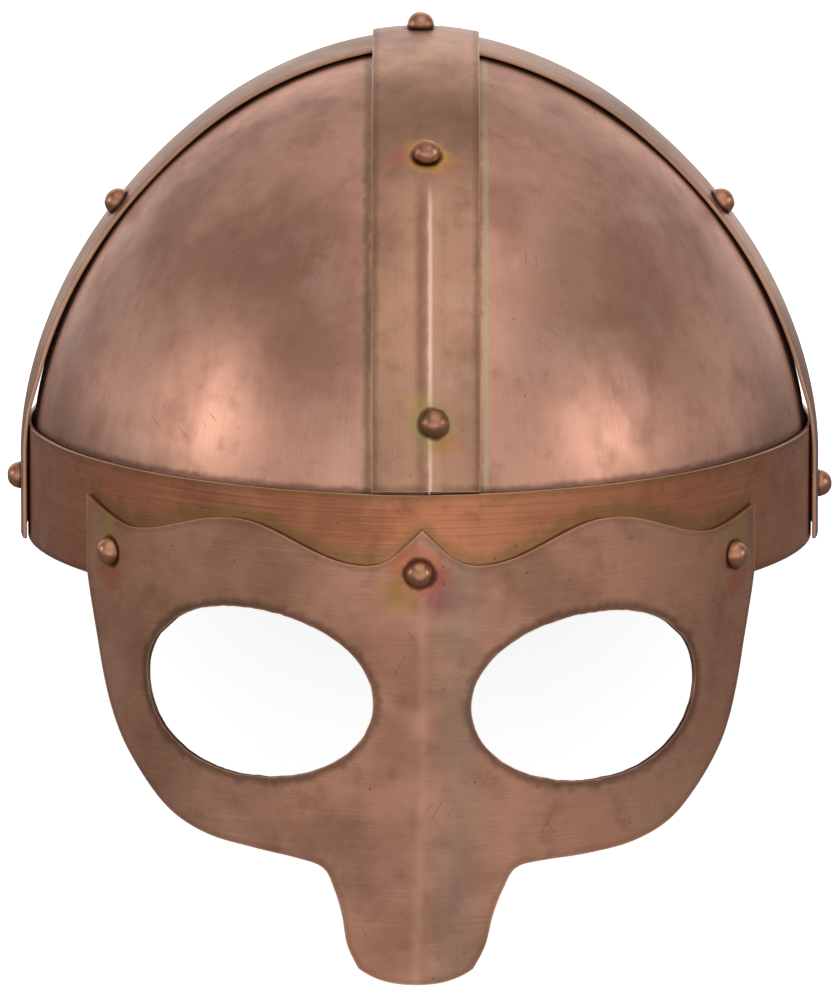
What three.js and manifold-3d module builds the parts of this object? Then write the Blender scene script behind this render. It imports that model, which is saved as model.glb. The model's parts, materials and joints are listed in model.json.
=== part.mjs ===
// Spangenhelm helmet: four dome plates held by a cross band from ear to ear, a fore-and-aft band
// over the crown and a brow band, with a spectacle mask and nasal riveted to the front.
//
// The helmet is drawn level: x to the right as seen from the front, y to the back, z up, with
// z = 0 on the lower edge of the brow band. It is then tipped back to the way it rests on a
// table, on the tip of its nasal and the rear of its brow band. Lengths are in millimetres.

import * as THREE from "three";
import { mergeVertices } from "three/addons/utils/BufferGeometryUtils.js";
import Module from "manifold-3d";

const wasm = await Module();
wasm.setup();

// Sheet and fit
const SHEET = 1.0; // thickness of every plate and band
const GAP = 0.3; // clearance between pieces that lie on each other

// Brow band: the oval that the head sets
const BROW_HALF_WIDTH = 100.3; // to its outer face
const BROW_HALF_LENGTH = 118;
const BROW_HEIGHT = 29.8;
const FRONT_OVAL_POWER = 1.85; // 2 is a true ellipse, less is more pointed
const REAR_OVAL_POWER = 2.15;

// Dome of four plates
const DOME_WIDEST_LEVEL = 22;
const DOME_TOP = 127.3; // outer face of the plates at the crown
const DOME_POWER = 1.83;
const PLATE_FOOT = 2.5; // lower edge of the plates, inside the brow band
const SEAM_GAP = 0.6; // between two plates, under a band
const SEAM_X = 2.4; // the front and rear seams lie a little to the right

// Cross band from ear to ear, under the fore-and-aft band
const CROSS_BAND_WIDTH = 26.5;
const CROSS_BAND_FOOT = 0.6; // its ends stop just above the brow band's lower edge
const CROSS_BAND_WIDEST_LEVEL = 22;
const CROSS_BAND_POWER = 1.815;
const CROSS_BAND_LIFT = 0.6; // over the plates at the crown
const CROSS_BAND_TUCK = 0.75; // its long edges are drawn in towards the plates on its flanks

// Fore-and-aft band, with a low ridge pressed along it
const FORE_AFT_WIDTH = 27;
const FORE_AFT_CENTRE_X = 1.6;
const FORE_AFT_WIDEST_LEVEL = 15.8;
const FORE_AFT_SPRING = 2.3; // over the plates at the widest level
const FORE_AFT_POWER = 1.84;
const FORE_AFT_LIFT = 0.45; // over the cross band at the crown
const FORE_AFT_FOOT_GAP = 0.4; // above the brow band's upper edge
const RIDGE_HEIGHT = 0.6;
const RIDGE_HALF_WIDTH = 6;

// Spectacle mask, measured flat: along the bend and up
const MASK_HALF_SPAN = 106.4;
const NASAL_DROP = 93.4;
const LOOP_DROP = 62;
const EYE_CENTRE = 46;
const EYE_DROP = 22.6;
const EYE_SKEW = 0.6; // the right opening is this much lower and the left this much higher
const EYE_HALF_LENGTH = 33.8;
const EYE_HALF_HEIGHT = 21.2;
const EYE_POWER = 2.05;
const EYE_TILT_DEG = 2; // the inner ends of both openings point a little down
const MASK_SLIP = 0.7; // the mask sits this much right of the middle
const NASAL_LEAN = -1.7; // and its nasal leans back to the left by this much at its end
const CREASE_HEIGHT = 2;
const CREASE_HALF_WIDTH = 19;
const CREASE_TOP = 4; // the crease starts here and is full CREASE_FADE lower
const CREASE_FADE = 22;

// Rivets
const HEAD_RADIUS = 3.5;
const HEAD_HEIGHT = 3.2;
const SHANK_RADIUS = 1.5;
const TAIL_RADIUS = 2.8;
const TAIL_HEIGHT = 0.9;
const TAIL_GAP = 0.8; // between the tail and the plates inside

// Upper edge of the mask from the middle to the side. along is a share of MASK_HALF_SPAN, left
// and right are heights as shares of BROW_HEIGHT, ease says how the edge gets there.
const MASK_TOP_ROWS = [
  { along: 0, left: 0.705, right: 0.705, ease: "start" },
  { along: 0.135, left: 0.395, right: 0.395, ease: "settle" },
  { along: 0.468, left: 0.72, right: 0.72, ease: "wave" },
  { along: 0.815, left: 0.505, right: 0.47, ease: "wave" },
  { along: 1, left: 0.69, right: 0.605, ease: "climb" },
];

// Outer edge of a loop from the side towards the nasal. along is a share of MASK_HALF_SPAN, left
// and right are the drops of that loop under the brow band as shares of LOOP_DROP.
const LOOP_ROWS = [
  { along: 1, left: -0.02, right: -0.02 },
  { along: 0.954, left: 0.25, right: 0.26 },
  { along: 0.91, left: 0.463, right: 0.478 },
  { along: 0.852, left: 0.627, right: 0.652 },
  { along: 0.76, left: 0.777, right: 0.81 },
  { along: 0.665, left: 0.89, right: 0.925 },
  { along: 0.55, left: 0.96, right: 0.99 },
  { along: 0.42, left: 0.99, right: 1.015 },
  { along: 0.3, left: 1.015, right: 1.025 },
];

// Side of the nasal from the loop to the lower corner. along is a share of MASK_HALF_SPAN, drop
// is a share of NASAL_DROP.
const NASAL_ROWS = [
  { along: 0.232, drop: 0.695 },
  { along: 0.202, drop: 0.75 },
  { along: 0.18, drop: 0.82 },
  { along: 0.164, drop: 0.9 },
  { along: 0.135, drop: 0.962 },
];
const NASAL_TIP_POWER = 2.6; // how squarely the lower end turns from one corner to the other

// Finish of each kind of piece: brushed copper plate, aged
const FINISHES = {
  dome: { color: 0x8d6a5b, roughness: 0.34, metalness: 1 },
  band: { color: 0x93705d, roughness: 0.36, metalness: 1 },
  brow: { color: 0x96654e, roughness: 0.38, metalness: 1 },
  mask: { color: 0x8c6857, roughness: 0.42, metalness: 1 },
  rivet: { color: 0xa9765c, roughness: 0.3, metalness: 1 },
};

// A shell is an oval in plan whose walls stand upright to its widest level and then close in to
// its top. Every face of the dome, the bands and the mask lies on one.
const DOME_FACE = {
  halfWidth: BROW_HALF_WIDTH - SHEET - GAP,
  halfLength: BROW_HALF_LENGTH - SHEET - GAP,
  widestLevel: DOME_WIDEST_LEVEL,
  rise: DOME_TOP - DOME_WIDEST_LEVEL,
  power: DOME_POWER,
};
const BROW_FACE = upright(BROW_HALF_WIDTH, BROW_HALF_LENGTH);
const MASK_FACE = offset(BROW_FACE, GAP + SHEET);
const CROSS_BAND_TOP = DOME_TOP + CROSS_BAND_LIFT;
const CROSS_BAND_UNDERSIDE = clearOf(BROW_FACE, {
  widestLevel: CROSS_BAND_WIDEST_LEVEL,
  rise: CROSS_BAND_TOP - CROSS_BAND_WIDEST_LEVEL,
  power: CROSS_BAND_POWER,
});
const FORE_AFT_UNDERSIDE = {
  halfWidth: DOME_FACE.halfWidth + FORE_AFT_SPRING,
  halfLength: DOME_FACE.halfLength + FORE_AFT_SPRING,
  widestLevel: FORE_AFT_WIDEST_LEVEL,
  rise: CROSS_BAND_TOP + SHEET + FORE_AFT_LIFT - FORE_AFT_WIDEST_LEVEL,
  power: FORE_AFT_POWER,
};

// The same shell, this much further out.
function offset(shell, distance) {
  return {
    ...shell,
    halfWidth: shell.halfWidth + distance,
    halfLength: shell.halfLength + distance,
    rise: shell.rise + distance,
  };
}

// A shell with upright walls all the way up.
function upright(halfWidth, halfLength) {
  return { halfWidth, halfLength, widestLevel: 0, rise: Infinity, power: 2 };
}

// A closing shell that just clears an upright wall at the brow band's upper edge.
function clearOf(wall, profile) {
  const height = Math.max(0, BROW_HEIGHT - profile.widestLevel) / profile.rise;
  const narrowing = (1 - height ** profile.power) ** (1 / profile.power);
  return {
    ...profile,
    halfWidth: (wall.halfWidth + GAP) / narrowing,
    halfLength: (wall.halfLength + GAP) / narrowing,
  };
}

// 1 on the shell, less inside it and more outside it.
function fullness(shell, point) {
  const power = point.y < 0 ? FRONT_OVAL_POWER : REAR_OVAL_POWER;
  const across = (Math.abs(point.x) / shell.halfWidth) ** power;
  const along = (Math.abs(point.y) / shell.halfLength) ** power;
  const up = Math.max(0, point.z - shell.widestLevel) / shell.rise;
  return (across + along) ** (shell.power / power) + up ** shell.power;
}

// The point where a ray from inside the shell meets it, found by halving.
function meet(shell, from, direction) {
  let near = 0;
  let far = 3 * BROW_HALF_LENGTH;
  const point = new THREE.Vector3();
  for (let step = 0; step < 44; step += 1) {
    const middle = (near + far) / 2;
    point.copy(from).addScaledVector(direction, middle);
    if (fullness(shell, point) < 1) near = middle;
    else far = middle;
  }
  return point;
}

// Outward normal of a shell at a point, from the slope of its fullness.
function normalAt(shell, point) {
  const reach = 0.01;
  const slope = ["x", "y", "z"].map((axis) => {
    const ahead = point.clone();
    const behind = point.clone();
    ahead[axis] += reach;
    behind[axis] -= reach;
    return fullness(shell, ahead) - fullness(shell, behind);
  });
  return new THREE.Vector3(...slope).normalize();
}

// A solid from triangles given as corner points, with shared corners joined and flat ones left out.
function solidOf(corners) {
  const loose = new THREE.BufferGeometry();
  const positions = corners.flatMap((corner) => [corner.x, corner.y, corner.z]);
  loose.setAttribute("position", new THREE.Float32BufferAttribute(positions, 3));
  return solidOfGeometry(loose);
}

function solidOfGeometry(geometry) {
  const bare = geometry.clone();
  bare.deleteAttribute("normal");
  bare.deleteAttribute("uv");
  const joined = mergeVertices(bare, 1e-4);
  const index = [...joined.index.array];
  const triangles = [];
  for (let first = 0; first < index.length; first += 3) {
    const [a, b, c] = index.slice(first, first + 3);
    if (a !== b && b !== c && c !== a) triangles.push(a, b, c);
  }
  const vertices = Float32Array.from(joined.attributes.position.array);
  if (signedVolume(vertices, triangles) < 0) triangles.reverse();
  const shape = { numProp: 3, vertProperties: vertices, triVerts: Uint32Array.from(triangles) };
  return new wasm.Manifold(new wasm.Mesh(shape));
}

function signedVolume(vertices, triangles) {
  const corner = (index) => new THREE.Vector3().fromArray(vertices, 3 * index);
  let sixfold = 0;
  for (let first = 0; first < triangles.length; first += 3) {
    const [a, b, c] = triangles.slice(first, first + 3).map(corner);
    sixfold += a.dot(b.cross(c));
  }
  return sixfold / 6;
}

function geometryOf(solid) {
  const mesh = solid.getMesh();
  const geometry = new THREE.BufferGeometry();
  const positions = Float32Array.from(mesh.vertProperties);
  geometry.setAttribute("position", new THREE.BufferAttribute(positions, 3));
  geometry.setIndex(Array.from(mesh.triVerts));
  geometry.computeVertexNormals();
  return geometry;
}

// The two triangles of a four-sided face.
function quad(a, b, c, d) {
  return [a, b, c, a, c, d];
}

// A sheet between two matching grids of points, closed along its edges. A ring's last column is
// its first one again.
function sheetBetween(outer, inner, ring = false) {
  const corners = [];
  const lastRow = outer.length - 1;
  const lastColumn = outer[0].length - 1;
  for (let row = 0; row < lastRow; row += 1) {
    for (let column = 0; column < lastColumn; column += 1) {
      const next = column + 1;
      corners.push(
        ...quad(outer[row][column], outer[row][next], outer[row + 1][next], outer[row + 1][column]),
        ...quad(inner[row][column], inner[row + 1][column], inner[row + 1][next], inner[row][next]),
      );
    }
  }
  for (let column = 0; column < lastColumn; column += 1) {
    const next = column + 1;
    corners.push(
      ...quad(outer[0][next], outer[0][column], inner[0][column], inner[0][next]),
      ...quad(outer[lastRow][column], outer[lastRow][next], inner[lastRow][next], inner[lastRow][column]),
    );
  }
  if (!ring) {
    for (let row = 0; row < lastRow; row += 1) {
      const up = row + 1;
      corners.push(
        ...quad(outer[row][0], outer[up][0], inner[up][0], inner[row][0]),
        ...quad(outer[up][lastColumn], outer[row][lastColumn], inner[row][lastColumn], inner[up][lastColumn]),
      );
    }
  }
  return solidOf(corners);
}

function evenly(from, to, steps) {
  return Array.from({ length: steps + 1 }, (_, step) => from + ((to - from) * step) / steps);
}

// Directions round the oval. An odd count gives a corner at the front and a flat at the rear.
function turns(count) {
  return evenly(0, 2 * Math.PI, count);
}

// Dome: one closed shell of sheet, later cut into its four plates
const DOME_COLUMNS = 51;
const DOME_ROWS = 14;

function domeGrid(shell) {
  const centre = new THREE.Vector3(0, 0, DOME_WIDEST_LEVEL);
  const row = (climb, level) =>
    turns(DOME_COLUMNS).map((turn) => {
      const levelOut = Math.cos(climb);
      const direction = new THREE.Vector3(
        Math.sin(turn) * levelOut,
        -Math.cos(turn) * levelOut,
        Math.sin(climb),
      );
      const point = meet(shell, centre, direction);
      if (level !== undefined) point.z = level;
      return point;
    });
  const climbs = evenly(0, Math.PI / 2, DOME_ROWS).slice(0, -1);
  const crown = new THREE.Vector3(0, 0, shell.widestLevel + shell.rise);
  return [
    row(0, PLATE_FOOT),
    ...climbs.map((climb) => row(climb)),
    turns(DOME_COLUMNS).map(() => crown),
  ];
}

// The crown row has no face of its own, so the sheet is closed only at the foot.
function domeSolid() {
  const outer = domeGrid(DOME_FACE);
  const inner = domeGrid(offset(DOME_FACE, -SHEET));
  const corners = [];
  for (let row = 0; row < outer.length - 1; row += 1) {
    for (let column = 0; column < DOME_COLUMNS; column += 1) {
      const next = column + 1;
      corners.push(
        ...quad(outer[row][column], outer[row][next], outer[row + 1][next], outer[row + 1][column]),
        ...quad(inner[row][column], inner[row + 1][column], inner[row + 1][next], inner[row][next]),
      );
    }
  }
  for (let column = 0; column < DOME_COLUMNS; column += 1) {
    corners.push(...quad(outer[0][column + 1], outer[0][column], inner[0][column], inner[0][column + 1]));
  }
  return solidOf(corners);
}

// One plate: the quarter of the dome on one side of each seam.
function platesOf(dome) {
  const reach = 3 * BROW_HALF_LENGTH;
  const quarter = (side, end) => {
    const block = new THREE.BoxGeometry(reach, reach, reach);
    block.translate(
      SEAM_X + side * (reach / 2 + SEAM_GAP / 2),
      end * (reach / 2 + SEAM_GAP / 2),
      0,
    );
    return dome.intersect(solidOfGeometry(block));
  };
  return {
    plate_front_left: quarter(-1, -1),
    plate_front_right: quarter(1, -1),
    plate_rear_left: quarter(-1, 1),
    plate_rear_right: quarter(1, 1),
  };
}

// Brow band: a closed oval ring
function browBand() {
  const column = (shell, turn) => {
    const direction = new THREE.Vector3(Math.sin(turn), -Math.cos(turn), 0);
    return meet(shell, new THREE.Vector3(), direction);
  };
  const grid = (shell) =>
    [0, BROW_HEIGHT].map((level) =>
      turns(DOME_COLUMNS).map((turn) => column(shell, turn).setZ(level)),
    );
  return sheetBetween(grid(BROW_FACE), grid(offset(BROW_FACE, -SHEET)), true);
}

// Angle at which a shell's middle line stands at a level, seen from its widest level.
function angleAtLevel(shell, halfSpan, level) {
  const height = (level - shell.widestLevel) / shell.rise;
  const out = halfSpan * (1 - height ** shell.power) ** (1 / shell.power);
  return Math.atan2(level - shell.widestLevel, out);
}

// Cross band: an arch across the dome whose legs drop outside the brow band. Its edges are drawn
// in on the flanks, and lie level over the brow band and at the crown.
const CROSS_BAND_STEPS = 36;

function tuckAt(y, angle) {
  const climb = THREE.MathUtils.radToDeg(Math.min(angle, Math.PI - angle));
  const onFlank = THREE.MathUtils.smoothstep(climb, 5, 12) * (1 - THREE.MathUtils.smoothstep(climb, 45, 65));
  return CROSS_BAND_TUCK * onFlank * (y / (CROSS_BAND_WIDTH / 2)) ** 2;
}

function crossBand() {
  const legLevels = [CROSS_BAND_FOOT, CROSS_BAND_WIDEST_LEVEL / 2];
  const angles = evenly(0, Math.PI, CROSS_BAND_STEPS);
  const across = evenly(-CROSS_BAND_WIDTH / 2, CROSS_BAND_WIDTH / 2, 3);
  const arch = (shell, y, angle) => {
    const from = new THREE.Vector3(0, y, CROSS_BAND_WIDEST_LEVEL);
    const direction = new THREE.Vector3(Math.cos(angle), 0, Math.sin(angle));
    return meet(offset(shell, -tuckAt(y, angle)), from, direction);
  };
  const grid = (shell) => [
    ...legLevels.map((level) => across.map((y) => arch(shell, y, 0).setZ(level))),
    ...angles.map((angle) => across.map((y) => arch(shell, y, angle))),
    ...legLevels.toReversed().map((level) => across.map((y) => arch(shell, y, Math.PI).setZ(level))),
  ];
  return sheetBetween(grid(offset(CROSS_BAND_UNDERSIDE, SHEET)), grid(CROSS_BAND_UNDERSIDE));
}

// Height of the pressed ridge at a place across the fore-and-aft band.
function ridgeAt(x) {
  const share = Math.min(1, Math.abs(x - SEAM_X) / RIDGE_HALF_WIDTH);
  return (RIDGE_HEIGHT * (1 + Math.cos(Math.PI * share))) / 2;
}

// Fore-and-aft band: an arch over the crown that ends just above the brow band
const FORE_AFT_STEPS = 34;

function foreAftBand() {
  const start = angleAtLevel(
    FORE_AFT_UNDERSIDE,
    FORE_AFT_UNDERSIDE.halfLength,
    BROW_HEIGHT + FORE_AFT_FOOT_GAP,
  );
  const left = FORE_AFT_CENTRE_X - FORE_AFT_WIDTH / 2;
  const right = FORE_AFT_CENTRE_X + FORE_AFT_WIDTH / 2;
  const ridge = evenly(SEAM_X - RIDGE_HALF_WIDTH, SEAM_X + RIDGE_HALF_WIDTH, 4);
  const across = [left, ...ridge.filter((x) => x > left + 1 && x < right - 1), right];
  const grid = (height) =>
    evenly(start, Math.PI - start, FORE_AFT_STEPS).map((angle) =>
      across.map((x) => {
        const from = new THREE.Vector3(x, 0, FORE_AFT_WIDEST_LEVEL);
        const direction = new THREE.Vector3(0, -Math.cos(angle), Math.sin(angle));
        return meet(offset(FORE_AFT_UNDERSIDE, height + ridgeAt(x)), from, direction);
      }),
    );
  return sheetBetween(grid(SHEET), grid(0));
}

// The mask's outer face in plan: points and outward normals against distance along the bend.
const BEND_STEPS = 1200;
const BEND = bendOf(MASK_FACE);

function bendOf(shell) {
  const rows = [];
  let along = 0;
  for (let step = 0; step <= BEND_STEPS; step += 1) {
    const turn = (step / BEND_STEPS) * (Math.PI / 2);
    const point = meet(
      shell,
      new THREE.Vector3(),
      new THREE.Vector3(Math.sin(turn), -Math.cos(turn), 0),
    );
    if (step > 0) along += point.distanceTo(rows[step - 1].point);
    rows.push({ along, point, normal: normalAt(shell, point).setZ(0).normalize() });
  }
  return rows;
}

// Where a place on the flat mask comes to lie once it is bent round the brow.
function bend(flatAlong, level, depth) {
  const lean = NASAL_LEAN * THREE.MathUtils.smoothstep(-level, 0.7 * LOOP_DROP, NASAL_DROP);
  const along = flatAlong + MASK_SLIP + lean;
  const distance = Math.abs(along);
  const side = Math.sign(along);
  let low = 0;
  let high = BEND_STEPS;
  while (high - low > 1) {
    const middle = (low + high) >> 1;
    if (BEND[middle].along <= distance) low = middle;
    else high = middle;
  }
  const share = (distance - BEND[low].along) / (BEND[high].along - BEND[low].along);
  const point = BEND[low].point.clone().lerp(BEND[high].point, share);
  const normal = BEND[low].normal.clone().lerp(BEND[high].normal, share);
  if (distance === 0) normal.set(0, -1, 0);
  point.addScaledVector(normal, creaseAt(Math.abs(flatAlong), level) - depth);
  return new THREE.Vector3(point.x * (side || 1), point.y, level);
}

// Height of the crease that runs down the nasal.
function creaseAt(distance, level) {
  const across = Math.max(0, 1 - distance / CREASE_HALF_WIDTH);
  const down = THREE.MathUtils.smoothstep(CREASE_TOP - level, 0, CREASE_FADE);
  return CREASE_HEIGHT * across * down;
}

const EASES = {
  settle: (share) => 1 - (1 - share) ** 2,
  wave: (share) => (1 - Math.cos(Math.PI * share)) / 2,
  climb: (share) => share ** 1.4,
};

// Free edge of one half of the mask, flat, from the middle of its upper edge to the corner of the
// nasal. side is -1 for the left half and 1 for the right one.
function maskEdge(side) {
  const column = side < 0 ? "left" : "right";
  const upper = [new THREE.Vector2(0, MASK_TOP_ROWS[0][column] * BROW_HEIGHT)];
  for (let row = 1; row < MASK_TOP_ROWS.length; row += 1) {
    const from = MASK_TOP_ROWS[row - 1];
    const to = MASK_TOP_ROWS[row];
    for (const share of evenly(0, 1, 5).slice(1)) {
      const along = from.along + (to.along - from.along) * share;
      const level = from[column] + (to[column] - from[column]) * EASES[to.ease](share);
      upper.push(new THREE.Vector2(side * along * MASK_HALF_SPAN, level * BROW_HEIGHT));
    }
  }
  const rows = [
    ...LOOP_ROWS.map((row) => [row.along, row[column] * LOOP_DROP]),
    ...NASAL_ROWS.map(({ along, drop }) => [along, drop * NASAL_DROP]),
  ];
  const stations = rows.map(([along, drop]) => new THREE.Vector2(side * along * MASK_HALF_SPAN, -drop));
  const lower = new THREE.SplineCurve(stations).getPoints(2 * (stations.length - 1));
  const throat = 2 * LOOP_ROWS.length;
  return { loop: [...upper, ...lower.slice(0, throat + 1)], nasal: lower.slice(throat) };
}

// The point of an eye opening's rim that lies in the direction of another point.
function eyeRim(side, towards) {
  const tilt = THREE.MathUtils.degToRad(EYE_TILT_DEG) * side;
  const centre = new THREE.Vector2(side * EYE_CENTRE, -EYE_DROP - side * EYE_SKEW);
  const direction = towards.clone().sub(centre).normalize();
  const local = direction.clone().rotateAround(new THREE.Vector2(), -tilt);
  const along = Math.abs(local.x / EYE_HALF_LENGTH) ** EYE_POWER;
  const up = Math.abs(local.y / EYE_HALF_HEIGHT) ** EYE_POWER;
  return centre.addScaledVector(direction, (along + up) ** (-1 / EYE_POWER));
}

// Mask: flat grids round each eye opening and down the nasal, bent round the brow and given a
// thickness. The two halves share the points of the middle line.
const MASK_RINGS = 3;
const MIDDLE_STEPS = 8;
const NASAL_COLUMNS = 3;

function spectacleMask() {
  const corners = [];
  const outer = (place) => bend(place.x, place.y, 0);
  const inner = (place) => bend(place.x, place.y, SHEET);
  const faces = (a, b, c, d) => {
    corners.push(...quad(outer(a), outer(b), outer(c), outer(d)));
    corners.push(...quad(inner(d), inner(c), inner(b), inner(a)));
  };
  const wall = (from, to) => corners.push(...quad(outer(to), outer(from), inner(from), inner(to)));
  for (const side of [-1, 1]) {
    // The left half is gone round the other way, so that its faces point out as well.
    const turned = (make) => (side < 0 ? (...places) => make(...places.toReversed()) : make);
    const face = turned(faces);
    const edge = turned(wall);
    const { loop, nasal } = maskEdge(side);
    const throat = loop.at(-1);
    const middleTop = loop[0];
    const middleThroat = new THREE.Vector2(0, throat.y);
    const ring = [
      ...loop,
      ...evenly(0, 1, NASAL_COLUMNS).slice(1, -1).map((share) => throat.clone().lerp(middleThroat, share)),
      ...evenly(0, 1, MIDDLE_STEPS).slice(0, -1).map((share) => middleThroat.clone().lerp(middleTop, share)),
      middleTop,
    ];
    for (let place = 1; place < ring.length; place += 1) {
      const [from, to] = [ring[place - 1], ring[place]];
      const [rimFrom, rimTo] = [eyeRim(side, from), eyeRim(side, to)];
      for (let step = 0; step < MASK_RINGS; step += 1) {
        const [near, far] = [step / MASK_RINGS, (step + 1) / MASK_RINGS];
        face(
          rimFrom.clone().lerp(from, near),
          rimTo.clone().lerp(to, near),
          rimTo.clone().lerp(to, far),
          rimFrom.clone().lerp(from, far),
        );
      }
      edge(rimFrom, rimTo);
      if (place < loop.length) edge(to, from);
    }
    const corner = nasal.at(-1);
    const lastRow = nasal.length - 1;
    const grid = nasal.map((place, row) => {
      const down = row / lastRow;
      const middleLevel = THREE.MathUtils.lerp(throat.y, -NASAL_DROP, down);
      return evenly(0, 1, NASAL_COLUMNS).map((share) => {
        const bow = (NASAL_DROP + corner.y) * (1 - share ** NASAL_TIP_POWER - (1 - share)) * down ** 4;
        const x = THREE.MathUtils.lerp(0, place.x, share);
        return new THREE.Vector2(x, THREE.MathUtils.lerp(middleLevel, place.y, share) - bow);
      });
    });
    for (let row = 0; row < lastRow; row += 1) {
      for (let column = 0; column < NASAL_COLUMNS; column += 1) {
        const next = column + 1;
        face(grid[row + 1][column], grid[row + 1][next], grid[row][next], grid[row][column]);
      }
      edge(grid[row + 1][NASAL_COLUMNS], grid[row][NASAL_COLUMNS]);
    }
    for (let column = 0; column < NASAL_COLUMNS; column += 1) {
      edge(grid[lastRow][column], grid[lastRow][column + 1]);
    }
  }
  return solidOf(corners);
}

// Rivets: where each sits, on which face, and the pieces that it holds together. along and level
// place it on the mask, angle on a band's arch from the front or the right ear, and level on an
// upright wall.
const FRONT_PLATES = ["plate_front_left", "plate_front_right"];
const REAR_PLATES = ["plate_rear_left", "plate_rear_right"];
const LEFT_PLATES = ["plate_front_left", "plate_rear_left"];
const RIGHT_PLATES = ["plate_front_right", "plate_rear_right"];
const MASK_RIVETS = [
  { name: "rivet_mask_left", along: -0.893, level: 0.254, holds: ["plate_front_left"] },
  { name: "rivet_mask_centre", along: -0.007, level: 0.335, holds: ["plate_front_left"] },
  { name: "rivet_mask_right", along: 0.905, level: 0.215, holds: ["plate_front_right"] },
];
const FORE_AFT_RIVETS = [
  { name: "rivet_front_lower", x: 3.6, angleDeg: 15.2, holds: FRONT_PLATES },
  { name: "rivet_front_upper", x: 1.8, angleDeg: 53.9, holds: FRONT_PLATES },
  { name: "rivet_crown", x: 0.3, angleDeg: 90, holds: [...FRONT_PLATES, ...REAR_PLATES, "cross_band"] },
  { name: "rivet_rear_upper", x: SEAM_X, angleDeg: 126.1, holds: REAR_PLATES },
  { name: "rivet_rear_lower", x: SEAM_X, angleDeg: 164.8, holds: REAR_PLATES },
];
const CROSS_BAND_RIVETS = [
  { name: "rivet_right_upper", y: -6, angleDeg: 40, holds: ["plate_front_right"] },
  { name: "rivet_left_upper", y: -6, angleDeg: 140, holds: ["plate_front_left"] },
];
const EAR_RIVETS = [
  { name: "rivet_ear_left", side: -1, level: 0.5, holds: [...LEFT_PLATES, "brow_band"] },
  { name: "rivet_ear_right", side: 1, level: 0.43, holds: [...RIGHT_PLATES, "brow_band"] },
];

// Each rivet as a seat on the outermost face, the way out, and the names of what it goes through.
function rivetPlaces() {
  const foreAftCentre = (x) => new THREE.Vector3(x, 0, FORE_AFT_WIDEST_LEVEL);
  const crossCentre = (y) => new THREE.Vector3(0, y, CROSS_BAND_WIDEST_LEVEL);
  const crossFace = offset(CROSS_BAND_UNDERSIDE, SHEET);
  const onMask = MASK_RIVETS.map(({ name, along, level, holds }) => {
    const seat = bend(along * MASK_HALF_SPAN, level * BROW_HEIGHT, 0);
    const out = normalAt(MASK_FACE, seat).setZ(0).normalize();
    return { name, seat, out, through: ["spectacle_mask", "brow_band", ...holds] };
  });
  const onForeAft = FORE_AFT_RIVETS.map(({ name, x, angleDeg, holds }) => {
    const angle = THREE.MathUtils.degToRad(angleDeg);
    const face = offset(FORE_AFT_UNDERSIDE, SHEET + RIDGE_HEIGHT);
    const seat = meet(face, foreAftCentre(x), new THREE.Vector3(0, -Math.cos(angle), Math.sin(angle)));
    return { name, seat, out: normalAt(face, seat), through: ["fore_aft_band", ...holds] };
  });
  const onCross = CROSS_BAND_RIVETS.map(({ name, y, angleDeg, holds }) => {
    const angle = THREE.MathUtils.degToRad(angleDeg);
    const seat = meet(crossFace, crossCentre(y), new THREE.Vector3(Math.cos(angle), 0, Math.sin(angle)));
    return { name, seat, out: normalAt(crossFace, seat), through: ["cross_band", ...holds] };
  });
  const onEars = EAR_RIVETS.map(({ name, side, level, holds }) => {
    const out = new THREE.Vector3(side, 0, 0);
    const seat = meet(crossFace, new THREE.Vector3(), out).setZ(level * BROW_HEIGHT);
    return { name, seat, out, through: ["cross_band", ...holds] };
  });
  return [...onMask, ...onForeAft, ...onCross, ...onEars];
}

// Distance from a rivet's seat to the inner face of the plates behind it.
function gripOf({ seat, out }) {
  const deep = 20;
  const from = seat.clone().addScaledVector(out, -deep);
  return seat.distanceTo(meet(offset(DOME_FACE, -SHEET), from, out));
}

// A domed head outside, a shank, and a flattened tail inside. The seat is at the origin and the
// way out is up.
const RIVET_SIDES = 10;

function rivetGeometry(grip) {
  const headBase = GAP;
  const head = evenly(0, Math.PI / 2, 3).map(
    (turn) =>
      new THREE.Vector2(HEAD_RADIUS * Math.sin(turn), headBase + HEAD_HEIGHT * Math.cos(turn)),
  );
  const tailTop = -grip - TAIL_GAP;
  const profile = [
    ...head,
    new THREE.Vector2(SHANK_RADIUS, headBase),
    new THREE.Vector2(SHANK_RADIUS, tailTop),
    new THREE.Vector2(TAIL_RADIUS, tailTop),
    new THREE.Vector2(TAIL_RADIUS - GAP, tailTop - TAIL_HEIGHT),
    new THREE.Vector2(0, tailTop - TAIL_HEIGHT),
  ];
  const turned = new THREE.LatheGeometry(profile.toReversed(), RIVET_SIDES);
  turned.rotateX(Math.PI / 2);
  return turned;
}

// The hole that a rivet's shank passes through with clearance.
function holeSolid({ seat, out }, grip) {
  const length = grip + 4 * SHEET;
  const bore = new THREE.CylinderGeometry(SHANK_RADIUS + GAP, SHANK_RADIUS + GAP, length, 10);
  bore.rotateX(Math.PI / 2);
  bore.translate(0, 0, SHEET - length / 2);
  bore.applyQuaternion(turnTo(out));
  bore.translate(seat.x, seat.y, seat.z);
  return solidOfGeometry(bore);
}

function turnTo(out) {
  return new THREE.Quaternion().setFromUnitVectors(new THREE.Vector3(0, 0, 1), out);
}

function meshOf(name, geometry, finish) {
  const material = new THREE.MeshStandardMaterial({ name: finish, ...FINISHES[finish] });
  const mesh = new THREE.Mesh(geometry, material);
  mesh.name = name;
  return mesh;
}

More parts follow.
